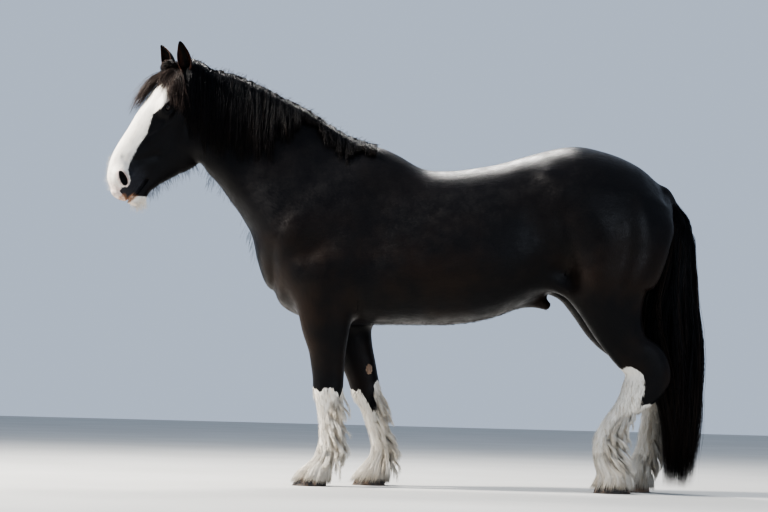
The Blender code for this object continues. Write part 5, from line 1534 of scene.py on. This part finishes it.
def tail_pieces(finish):
    chance = np.random.default_rng(5)
    for layer, count, top, bottom, least, most in TAIL_LAYERS:
        guides, outward = tail_guides(count, top, bottom, least, most, chance)
        paths, out, which = comb(guides, outward, chance, per=TAIL_HAIRS, rows=9, spread=(0.015, 0.011),
                                 gather=0.35, wave=0.014, short=0.24)
        paths[:, :, 2] = np.maximum(paths[:, :, 2], TAIL_LOWEST - 0.015 + 0.006 * np.arange(9)[::-1])
        total = len(paths)
        width = 0.0020 + 0.0016 * chance.random(total)
        tone = tones(chance, which, 0.70, 0.40)
        obj = hair_piece("tail_hair_" + layer, paths, out, width, np.zeros(total), tone)
        dress(obj, finish, "black_hair", "tail")


# The mane along the crest, as crest x and how far it hangs down the left side
MANE_FALL = ((-1.170, 0.340), (-1.130, 0.410), (-1.040, 0.440), (-0.900, 0.440), (-0.800, 0.410),
             (-0.730, 0.380), (-0.690, 0.270), (-0.610, 0.200), (-0.565, 0.090), (-0.480, 0.060),
             (-0.450, 0.120), (-0.370, 0.130), (-0.335, 0.170), (-0.300, 0.100), (-0.240, 0.070))
MANE_PARTS = (("front", -1.168, -0.800, 100), ("middle", -0.800, -0.520, 66), ("back", -0.520, -0.170, 46))
MANE_HAIRS = 36


def crest_line():
    """Points along the top of the neck's skin, with how steeply they rise."""
    crest = curve_through([(row[0], row[4], row[1]) for row in NECK[:-2]], 8)
    crest[:, 2] -= 0.06
    crest = meet_skin(crest, np.array((0.0, 0.0, 1.0)), 0.25)
    slope = np.gradient(crest[:, 2], crest[:, 0])
    slope = np.convolve(np.pad(slope, 3, "edge"), np.full(7, 1.0 / 7.0), "valid")
    return crest, slope


def on_crest(x):
    """The top of the neck at some places along it, and the direction it rises in."""
    crest, slope = crest_line()
    y, z, steep = (np.interp(x, crest[:, 0], row) for row in (crest[:, 1], crest[:, 2], slope))
    rise = unit(np.column_stack([-steep, np.zeros(len(x)), np.ones(len(x))]))
    return np.column_stack([x, y, z]), rise


def mane_guides(first, last, count, side, chance):
    """Lines from across the crest that bend over one side of the neck and hang straight down."""
    x = first + (last - first) * (np.arange(count) + chance.random(count)) / count
    top, rise = on_crest(x)
    hang = np.interp(x, [row[0] for row in MANE_FALL], [row[1] for row in MANE_FALL])
    hang = hang * (0.72 + 0.44 * chance.random(count))
    if side > 0.0:
        hang = 0.06 + 0.35 * hang * chance.random(count)
    drift = 0.070 * (chance.random(count) - 0.5) * (hang / 0.4)
    lift = 0.003 + 0.016 * chance.random(count)
    way = np.array((0.0, side, 0.0))
    across = (0.070 * chance.random(count) ** 1.5)[:, None]
    start = top - way * across
    start[:, 2] = meet_skin(start - (0.0, 0.0, 0.10), np.array((0.0, 0.0, 1.0)), 0.16)[:, 2]
    rows = [start - rise * 0.010, 0.5 * (start + top) + rise * (0.002 + 0.5 * lift)[:, None]]
    facing = [rise, rise + 0.3 * way]
    for down in (0.06, 0.16, 0.30, 0.46, 0.64, 0.82, 1.0):
        inner = top - (0.0, 0.0, 1.0) * np.maximum(hang * down, 0.016)[:, None]
        inner[:, 0] += drift * down
        skin = meet_skin(inner, way, 0.40)
        skin[:, 1] += side * lift * (0.7 + 0.7 * math.sin(math.pi * down))
        rows.append(skin)
        facing.append(np.tile(way, (count, 1)) + 0.5 * (1.0 - down) * rise)
    rows, facing = np.array(rows), np.array(facing)
    guides = np.array([curve_through(rows[:, i], 3) for i in range(count)])
    outward = np.array([curve_through(facing[:, i], 3) for i in range(count)])
    return guides, unit(outward)


def mane_pieces(finish):
    chance = np.random.default_rng(7)
    for part, first, last, count in MANE_PARTS:
        near, near_out = mane_guides(first, last, count, -1.0, chance)
        far, far_out = mane_guides(first, last, count // 5, 1.0, chance)
        guides = np.concatenate([near, far])
        outward = np.concatenate([near_out, far_out])
        paths, out, which = comb(guides, outward, chance, per=MANE_HAIRS, rows=8, spread=(0.014, 0.006),
                                 gather=0.35, wave=0.010, short=0.40)
        paths = bulge_clear(paths, 0.0015, 1)
        total = len(paths)
        width = 0.0015 + 0.0012 * chance.random(total)
        tone = tones(chance, which, 0.45, 0.35)
        obj = hair_piece("mane_hair_" + part, paths, out, width, np.zeros(total), tone)
        dress(obj, finish, "black_hair", "neck")


def crest_wisps(finish):
    """Short loose hairs that stand up along the crest."""
    chance = np.random.default_rng(17)
    count = 420
    root, rise = on_crest(-1.165 + 1.00 * chance.random(count))
    back = np.column_stack([rise[:, 2], np.zeros(count), -rise[:, 0]])
    side = np.array((0.0, 1.0, 0.0))
    long = 0.008 + 0.030 * chance.random(count) ** 3.0
    lean_back = 1.1 * chance.random((count, 1)) - 0.1
    to_side = 1.3 * (chance.random((count, 1)) - 0.62)
    start = root - rise * 0.004 + side * 0.030 * (chance.random((count, 1)) - 0.5)
    t = np.linspace(0.0, 1.0, 6)[None, :, None]
    way = unit(rise + 0.4 * lean_back * back + 0.4 * to_side * side)
    curl = 0.8 * lean_back * back + 0.9 * to_side * side - 0.35 * rise
    paths = start[:, None] + (way[:, None] * t + curl[:, None] * t * t * 0.6) * (long[:, None, None] + 0.012)
    out = np.tile(unit(side + 0.3 * back)[:, None], (1, 6, 1))
    obj = hair_piece("mane_wisps", paths, out, 0.0009 + 0.0007 * chance.random(count), np.zeros(count),
                     0.6 + 0.4 * chance.random(count))
    dress(obj, finish, "black_hair", "neck")


def brow_guides(count, chance):
    """The forelock's front lock: out over the forehead, clear of it, down past the eyes."""
    spot = (np.arange(count) + chance.random(count)) / count
    turn = np.radians(-30.0 + 70.0 * spot)
    end = np.radians(-46.0 + 96.0 * spot) + 0.20 * (chance.random(count) - 0.5)
    reach = np.interp(spot, (0.0, 0.45, 0.62, 0.80, 1.0), (0.39, 0.40, 0.21, 0.19, 0.27))
    reach = reach * (0.74 + 0.28 * chance.random(count))
    bow = (0.046 - 0.030 * smooth_between(0.35, 0.70, spot)) * chance.random(count) ** 0.7
    rows = [head_point(0.0, 0.0, 0.0) + np.outer(0.030 + 0.014 * chance.random(count), HEAD_ALONG)
            + np.outer(0.06 * np.sin(turn), HEAD_LEFT) + 0.014 * HEAD_FRONT]
    facing = [np.tile(HEAD_FRONT, (count, 1))]
    for share in (0.08, 0.22, 0.40, 0.60, 0.80, 1.0):
        along = 0.02 + (reach - 0.02) * share
        angle = turn + (end - turn) * share
        way = np.outer(np.cos(angle), HEAD_FRONT) + np.outer(np.sin(angle), HEAD_LEFT)
        skin = meet_skin(HEAD_ORIGIN + np.outer(along, HEAD_ALONG), way, 0.30)
        off = bow * smooth_between(0.0, 0.50, share) + 0.003
        rows.append(skin + way * off[:, None])
        facing.append(way)
    return np.array(rows), np.array(facing)


def cheek_guides(count, chance):
    """The forelock's near lock: it hangs straight down over the temple and the left eye."""
    front = 0.040 + 0.080 * chance.random(count)
    along = 0.026 + 0.030 * chance.random(count)
    reach = 0.190 + 0.120 * chance.random(count)
    lift = 0.004 + 0.016 * chance.random(count)
    ahead = 0.030 * (chance.random(count) - 0.5)
    rows = [head_point(0.0, 0.0, 0.0) + np.outer(along, HEAD_ALONG) + np.outer(0.7 * front, HEAD_FRONT)
            + np.outer(0.020 + 0.020 * chance.random(count), HEAD_LEFT)]
    facing = [np.tile(HEAD_LEFT, (count, 1)) + HEAD_FRONT]
    for share in (0.08, 0.22, 0.40, 0.60, 0.80, 1.0):
        fall = reach * share
        at = along + fall * math.cos(HEAD_PITCH)
        ahead_now = front - fall * math.sin(HEAD_PITCH) + ahead * share
        inner = HEAD_ORIGIN + np.outer(at, HEAD_ALONG) + np.outer(ahead_now, HEAD_FRONT)
        skin = meet_skin(inner, HEAD_LEFT, 0.30)
        rows.append(skin + HEAD_LEFT * (lift * (0.5 + share))[:, None])
        facing.append(np.tile(HEAD_LEFT, (count, 1)) + 0.5 * (1.0 - share) * HEAD_FRONT)
    return np.array(rows), np.array(facing)


def forelock_piece(finish):
    """Frizzy locks that fall from between the ears, parted over the blaze."""
    chance = np.random.default_rng(9)
    rows, facing = (np.concatenate(pair, axis=1)
                    for pair in zip(brow_guides(72, chance), cheek_guides(32, chance)))
    count = rows.shape[1]
    guides = np.array([curve_through(rows[:, i], 3) for i in range(count)])
    outward = unit(np.array([curve_through(facing[:, i], 3) for i in range(count)]))
    paths, out, which = comb(guides, outward, chance, per=22, rows=9, spread=(0.014, 0.008),
                             gather=0.10, wave=0.017, short=0.45)
    paths = bulge_clear(paths, 0.0015, 2)
    total = len(paths)
    tone = np.clip(0.45 + 0.55 * chance.random(count)[which] * chance.random(total) ** 0.5, 0.0, 1.0)
    width = 0.0012 + 0.0011 * chance.random(total)
    obj = hair_piece("forelock_hair", paths, out, width, np.zeros(total), tone)
    dress(obj, finish, "black_hair", "head")


# Feather: height and how far it reaches behind the middle of the leg
FEATHER_REACH = {
    "foreleg_left": (
        (0.560, 0.086), (0.490, 0.104), (0.400, 0.127), (0.200, 0.132), (0.100, 0.160), (0.000, 0.168)),
    "foreleg_right": (
        (0.560, 0.088), (0.530, 0.098), (0.285, 0.114), (0.190, 0.124), (0.110, 0.160), (0.000, 0.165)),
    "hindleg_left": (
        (0.560, 0.080), (0.450, 0.098), (0.375, 0.125), (0.270, 0.155), (0.165, 0.165), (0.000, 0.125)),
    "hindleg_right": (
        (0.560, 0.080), (0.450, 0.085), (0.375, 0.100), (0.270, 0.125), (0.165, 0.145), (0.000, 0.165)),
}
FEATHER_TOP = {"foreleg_left": 0.515, "foreleg_right": 0.530, "hindleg_left": 0.470, "hindleg_right": 0.480}
FLOOR_CLEAR = 0.003
# Points along each guide line of the feather
GUIDE_ROWS = 14


def ring_at(table, z, angle, out):
    """Points a little way out from a lower leg's skin; angle 0 is straight behind."""
    x, y, front, back, wide = table_at(table, z, 2, (0, 1, 3, 4, 5))
    long = np.where(np.cos(angle) > 0.0, back, front)
    return np.stack([x + (long + out) * np.cos(angle), y + (wide + out) * np.sin(angle), z], axis=-1)


def fringe_guides(leg, count, chance):
    """Lines of long hair down the back and sides of the cannon and fetlock."""
    table = LEGS[leg][0]
    reach_z, reach_x = np.array(FEATHER_REACH[leg])[::-1].T
    top = 0.165 + (FEATHER_TOP[leg] - 0.165) * chance.random(count) ** 0.85
    angle = np.clip(chance.normal(0.0, 0.75, count), -1.75, 1.75)
    fall = (0.085 + 0.085 * chance.random(count)) * (0.65 + 0.35 * np.cos(angle))
    share = np.linspace(0.0, 1.0, GUIDE_ROWS)[None, :]
    z = np.maximum(top[:, None] - fall[:, None] * share, FLOOR_CLEAR + 0.012 * (1.0 - share))
    back = table_at(table, z, 2, (4,))[0]
    beyond = np.maximum(np.interp(z, reach_z, reach_x) - back, 0.012)
    depth = 0.25 + 0.75 * chance.random((count, 1))
    behind = np.clip(np.cos(0.80 * angle), 0.15, 1.0)[:, None]
    out = beyond * depth * smooth_between(-0.10, 0.75, share) * behind
    bend = angle[:, None] + 0.20 * (chance.random((count, 1)) - 0.5) * share
    guides = ring_at(table, z, bend, out - 0.012 + 0.006 * share)
    outward = np.stack([np.cos(bend), np.sin(bend), 0.25 + 0.0 * bend], axis=-1)
    return guides, outward


def skirt_guides(leg, count, chance):
    """Lines of hair from round the pastern that fall over the hoof and spread on the ground."""
    table = LEGS[leg][0]
    x, y, front_high, back_high, long, wide, lie_back = HOOVES[leg]
    angle = 2.0 * math.pi * (np.arange(count) + 0.8 * chance.random(count)) / count
    top = 0.118 + 0.095 * chance.random(count)
    end = FLOOR_CLEAR + 0.016 * chance.random(count) ** 2.0
    ahead = np.clip(-np.cos(angle), 0.0, 1.0)
    end = end + 0.008 * ahead ** 4 * chance.random(count)
    share = np.linspace(0.0, 1.0, GUIDE_ROWS)[None, :]
    z = top[:, None] + (end - top)[:, None] * share
    round_leg = np.tile(angle[:, None], (1, GUIDE_ROWS))
    leg_ring = ring_at(table, np.maximum(z, 0.075), round_leg, -0.010 + 0.018 * share)
    clear = 0.004 + (0.016 + 0.010 * ahead[:, None]) * chance.random((count, 1)) * share
    way = np.stack([np.cos(angle), np.sin(angle)], axis=-1)[:, None]
    level = np.clip(z / (0.5 * (front_high + back_high)), 0.0, 1.2)
    over = np.stack([x + lie_back * level + (long * (1.0 - HOOF_SLIM[0] * level) + clear) * way[..., 0],
                     y + (wide * (1.0 - HOOF_SLIM[1] * level) + clear) * way[..., 1], z], axis=-1)
    blend = smooth_between(0.135, 0.075, z)[..., None]
    guides = leg_ring * (1.0 - blend) + over * blend
    guides[..., 2] = z
    outward = np.stack([np.tile(way[..., 0], (1, GUIDE_ROWS)), np.tile(way[..., 1], (1, GUIDE_ROWS)),
                        np.full(z.shape, 0.45)], axis=-1)
    return guides, outward


def hair_white(points, chance):
    """1 where a hair's root lies in the white of the coat, and 0 where it lies in the black."""
    ragged = 0.010 * (chance.random(len(points)) - 0.5)
    near_back = (points[:, 1] < 0.0) & (points[:, 0] < 0.0) & (points[:, 0] > -0.372)
    ragged = ragged + 0.05 * (near_back & (points[:, 2] < 0.53))
    return (white_edge(points) + ragged > 0.0).astype(float)


def feather_pieces(finish):
    for number, leg in enumerate(LEGS):
        chance = np.random.default_rng(20 + number)
        fringe, fringe_out = fringe_guides(leg, 100, chance)
        skirt, skirt_out = skirt_guides(leg, 72, chance)
        guides = np.concatenate([fringe, skirt])
        outward = np.concatenate([fringe_out, skirt_out])
        paths, out, which = comb(guides, outward, chance, per=31, rows=6, spread=(0.013, 0.007),
                                 gather=0.22, wave=0.005, short=0.26)
        paths[:, :, 2] = np.maximum(paths[:, :, 2], FLOOR_CLEAR + 0.002)
        total = len(paths)
        width = 0.0013 + 0.0012 * chance.random(total)
        tone = tones(chance, which, 0.6, 0.3)
        obj = hair_piece("feather_" + leg, paths, out, width, hair_white(paths[:, 0], chance), tone)
        dress(obj, finish, "white_feather", leg + "_lower")


def skin_samples(skin, wanted, count, chance):
    """Points spread evenly over part of the skin, with their normals."""
    mesh = skin.data
    points = vertex_array(mesh)
    corners = read_array(mesh.loops, "vertex_index", 1, np.int32)
    starts = read_array(mesh.polygons, "loop_start", 1, np.int32)
    area = read_array(mesh.polygons, "area")
    normal = read_array(mesh.polygons, "normal", 3).astype(float)
    first, second, third = (points[corners[starts + k]] for k in range(3))
    middle = (first + second + third) / 3.0
    weight = area * wanted(middle)
    pick = chance.choice(len(area), count, p=weight / weight.sum())
    a, b = chance.random((2, count, 1))
    a, b = np.minimum(a, b), np.maximum(a, b)
    spot = a * first[pick] + (b - a) * second[pick] + (1.0 - b) * third[pick]
    return spot, normal[pick]


def coat_lie(points):
    """Which way the short coat lies: down the face and legs, back and down over the body."""
    chart = chart_of(points)
    back = np.tile(unit(np.array((1.0, 0.0, -0.45))), (len(points), 1))
    back[chart == 0] = HEAD_ALONG
    back[chart >= 3] = (0.10, 0.0, -1.0)
    back[chart == 2] = unit(np.array((0.75, 0.0, -0.65)))
    return back


def tufts(name, finish, slot, skin, wanted, count, long, lift, wide, seed, rows):
    """Short tufts that lie along the coat, rooted in the skin."""
    chance = np.random.default_rng(seed)
    spot, normal = skin_samples(skin, wanted, count, chance)
    lie = coat_lie(spot)
    lie = unit(lie - normal * (lie * normal).sum(axis=1)[:, None])
    side = np.cross(normal, lie)
    lie = unit(lie + side * chance.normal(0.0, 0.16, (count, 1)))
    length = long * (0.6 + 0.8 * chance.random(count))
    rise = lift * (0.4 + 1.2 * chance.random(count) ** 2)
    t = np.linspace(0.0, 1.0, rows)[None, :, None]
    depth = 0.003
    paths = (spot[:, None] - normal[:, None] * depth + lie[:, None] * t * length[:, None, None]
             + normal[:, None] * ((depth + rise)[:, None, None] * np.sin(t * 2.1) / 0.95))
    paths = bulge_clear(paths, 0.0005 - COAT_DEPTH, 1)
    paths[:, :, 2] = np.maximum(paths[:, :, 2], FLOOR_CLEAR)
    out = np.tile(normal[:, None], (1, rows, 1))
    width = wide * (0.6 + 0.8 * chance.random(count))
    obj = hair_piece(name, paths, out, width, hair_white(spot, chance), chance.random(count), 0.22)
    dress(obj, finish, slot)


def hair_material(name, black, bleached_and_lit, white, stained):
    """Long hair: each hair has its own tone, with fine strands along it, a painted blue-grey sheen on dark
    hair, and weathered tips.
    """
    n = Nodes(name)
    side = n.attribute("side")
    share = n.attribute("share")
    tone = n.attribute("tone")
    place = n.add("ShaderNodeCombineXYZ", {"X": n.times(side, 5.0), "Y": share,
                                           "Z": n.times(tone, 57.0)}).outputs["Vector"]
    strand = n.noise(place, 2.2, 3.0, 0.6)
    tip = n.times(n.between(share, 0.45, 1.0), n.between(tone, 0.35, 0.95, 0.15, 0.85))
    # bleached_and_lit: weathered brown tips on mane, tail and feather; on the forelock it is painted light
    dark = n.mix(n.between(tone, 0.60, 1.0, 0.0, 0.7), black, bleached_and_lit)
    dark = n.mix(tip, dark, bleached_and_lit)
    # Painted sheen: blue-grey streaks along the dark hair's strands, as the sky would reflect off them
    dark = n.mix(n.between(strand, 0.45, 0.75, 0.0, 0.30), dark, (0.018, 0.019, 0.024))
    pale = n.mix(n.between(tone, 0.35, 0.95, 0.0, 0.7), white, stained)
    pale = n.mix(n.times(tip, 0.7), pale, stained)
    pale = n.mix(n.between(strand, 0.45, 0.80, 0.0, 0.20), pale, (0.50, 0.43, 0.34))
    colour = n.mix(n.attribute("white"), dark, pale)
    normal = n.bump(strand, 0.35, 0.0006)
    return n.set(Base_Color=colour, Roughness=n.between(strand, 0.3, 0.7, 0.34, 0.50), Normal=normal,
                 Specular_IOR_Level=0.28, Sheen_Weight=0.02, Sheen_Roughness=0.4,
                 Sheen_Tint=(0.60, 0.72, 1.0))


def on_lower_leg(points):
    """The white part of the lower legs, down to the hoof."""
    return (white_edge(points) > -0.004) * (points[:, 2] < 0.60) * (points[:, 2] > 0.07)


def on_broken_edge(points):
    """Where the short coat breaks the outline: under the jaw and along the belly."""
    along, front, left = in_head(points)
    jaw = (along > 0.25) & (along < 0.66) & (front < -0.12) & (np.abs(left) < 0.035)
    belly = (points[:, 2] < 0.95) & (points[:, 2] > 0.80) & (np.abs(points[:, 1]) < 0.12)
    belly &= (points[:, 0] > -0.20) & (points[:, 0] < 0.75)
    return 1.0 * jaw + 0.35 * belly


# Stray hairs of the face and throat: name, how many, lowest and highest distance along the head,
# lowest and highest angle round it from straight ahead, length, how they turn down, and white or black
WHISKERS = (("muzzle", 240, (0.600, 0.785), (-55.0, 25.0), (0.010, 0.026), 0.15, 1.0),
            ("chin", 260, (0.745, 0.800), (125.0, 235.0), (0.012, 0.034), 0.80, 1.0),
            ("jaw", 240, (0.430, 0.720), (165.0, 195.0), (0.012, 0.045), 0.90, 0.0))
# Where hairs hang loose from the underline: x, z, how far each side, how many and how long
THROAT_WISPS = ((-1.000, 1.600, 0.030, 26, 0.080), (-0.960, 1.520, 0.030, 20, 0.050),
                (-0.780, 1.260, 0.050, 36, 0.070))


def stray_paths(root, way, long, droop, rows):
    """Stray hairs from their roots one way, drooping towards their tips."""
    t = np.linspace(0.0, 1.0, rows)[None, :, None]
    reach = long[:, None, None]
    return root[:, None] + way[:, None] * reach * t + np.array((0.0, 0.0, -1.0)) * reach * droop * t * t


def whisker_pieces(finish):
    """Whiskers on the muzzle, beards under chin and jaw, and loose hairs below the throat."""
    chance = np.random.default_rng(41)
    paths = []
    white = []
    for _, count, along, turn, long, droop, pale in WHISKERS:
        a = along[0] + (along[1] - along[0]) * chance.random(count)
        angle = np.radians(turn[0] + (turn[1] - turn[0]) * chance.random(count))
        way = np.outer(np.cos(angle), HEAD_FRONT) + np.outer(np.sin(angle), HEAD_LEFT)
        middle = HEAD_ORIGIN + np.outer(a, HEAD_ALONG) - 0.055 * HEAD_FRONT
        root = meet_skin(middle, way, 0.30) - way * 0.003
        way = unit(way + 0.5 * HEAD_ALONG + 0.35 * chance.normal(0.0, 1.0, (count, 3)))
        size = long[0] + (long[1] - long[0]) * chance.random(count) ** 1.5
        paths.append(stray_paths(root, way, size, droop, 6))
        white.append(np.full(count, pale))
    for x, z, wide, count, long in THROAT_WISPS:
        inner = np.column_stack([x + 0.03 * chance.normal(0.0, 1.0, count),
                                 wide * (2.0 * chance.random(count) - 1.0), np.full(count, z + 0.12)])
        root = meet_skin(inner, np.array((-0.35, 0.0, -0.94)), 0.40)
        way = unit(np.array((-0.3, 0.0, -1.0)) + 0.25 * chance.normal(0.0, 1.0, (count, 3)))
        paths.append(stray_paths(root, way, long * (0.4 + 0.6 * chance.random(count)), 0.3, 6))
        white.append(np.zeros(count))
    paths = np.concatenate(paths)
    total = len(paths)
    out = np.tile(np.array((0.0, -1.0, 0.2)), (total, 6, 1))
    obj = hair_piece("whiskers", paths, out, 0.0005 + 0.0005 * chance.random(total), np.concatenate(white),
                     chance.random(total))
    dress(obj, finish, "white_feather")


def chestnut_pieces(finish):
    """The horny pads high on the inner sides of the forelegs."""
    for leg, height in (("foreleg_left", 0.620), ("foreleg_right", 0.612)):
        table = LEGS[leg][0]
        x, y = table_at(table, height, 2, (0, 1))
        inward = np.array((0.0, 1.0 if y < 0.0 else -1.0, 0.0))
        place = meet_skin(np.array([(x + 0.046, y, height)]), inward, 0.20)[0]
        bpy.ops.mesh.primitive_uv_sphere_add(segments=32, ring_count=20, radius=1.0)
        obj = bpy.context.active_object
        obj.name = "chestnut_" + leg
        points = vertex_array(obj.data)
        rough = 1.0 + 0.10 * np.sin(9.0 * points[:, 2] + 4.0 * points[:, 0])
        rough += 0.05 * np.sin(23.0 * points[:, 2])
        set_vertices(obj.data, place + points * rough[:, None] * (0.018, 0.007, 0.028))
        point_attribute(obj.data, "share", np.full(len(points), 0.5))
        smooth_faces(obj)
        dress(obj, finish, "pale_horn")


def dress(obj, material, slot, *nodes):
    """Give a piece its finish, and let it stand for solids where it replaces them."""
    obj.data.materials.clear()
    obj.data.materials.append(material)
    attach(obj, "root")
    if nodes:
        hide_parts(*nodes)


FLESH_NODES = ["head", "neck", "torso"] + [leg + part for leg in LEGS for part in ("_upper", "_lower")]


def make_horse():
    skin = skin_object()
    map_skin(skin.data)
    mark_skin(skin.data)
    smooth_faces(skin)
    coat = coat_material()
    dress(skin, coat, "black_coat", *FLESH_NODES)
    eye_finish = eye_material()
    ear_finish = ear_material()
    for label, side in (("left", 1.0), ("right", -1.0)):
        dress(eye_object("eyeball_" + label, side), eye_finish, "eye", "eye_" + label)
        dress(fine_ear("ear_" + label), ear_finish, "black_coat", "ear_" + label)
    dark = horn_material("dark_horn", False)
    pale = horn_material("pale_horn", True)
    for leg in LEGS:
        hoof = fine_hoof("fine_hoof_" + leg, leg)
        is_pale = leg == "hindleg_right"
        dress(hoof, pale if is_pale else dark, "pale_horn" if is_pale else "dark_horn", "hoof_" + leg)
    black_hair = hair_material("black_hair", (0.0045, 0.0044, 0.0054), (0.046, 0.028, 0.018), WHITE_COAT,
                               (0.52, 0.44, 0.35))
    white_hair = hair_material("white_feather", BLACK_COAT, (0.030, 0.018, 0.012), WHITE_COAT,
                               (0.66, 0.57, 0.45))
    tail_pieces(black_hair)
    mane_pieces(black_hair)
    crest_wisps(black_hair)
    # The forelock's black hair gets lighter, pinkish-brown colours: painted light where the lamps catch it
    # from the front
    forelock_piece(hair_material("forelock_hair", (0.022, 0.016, 0.014), (0.150, 0.105, 0.085), WHITE_COAT,
                                 WHITE_COAT))
    feather_pieces(white_hair)
    tufts("leg_coat", white_hair, "white_feather", skin, on_lower_leg, count=5000, long=0.036, lift=0.004,
          wide=0.0020, seed=31, rows=5)
    tufts("edge_coat", white_hair, "black_coat", skin, on_broken_edge, count=3000, long=0.020, lift=0.0035,
          wide=0.0022, seed=32, rows=4)
    whisker_pieces(white_hair)
    chestnut_pieces(pale)


make_camera()
make_studio()
make_horse()
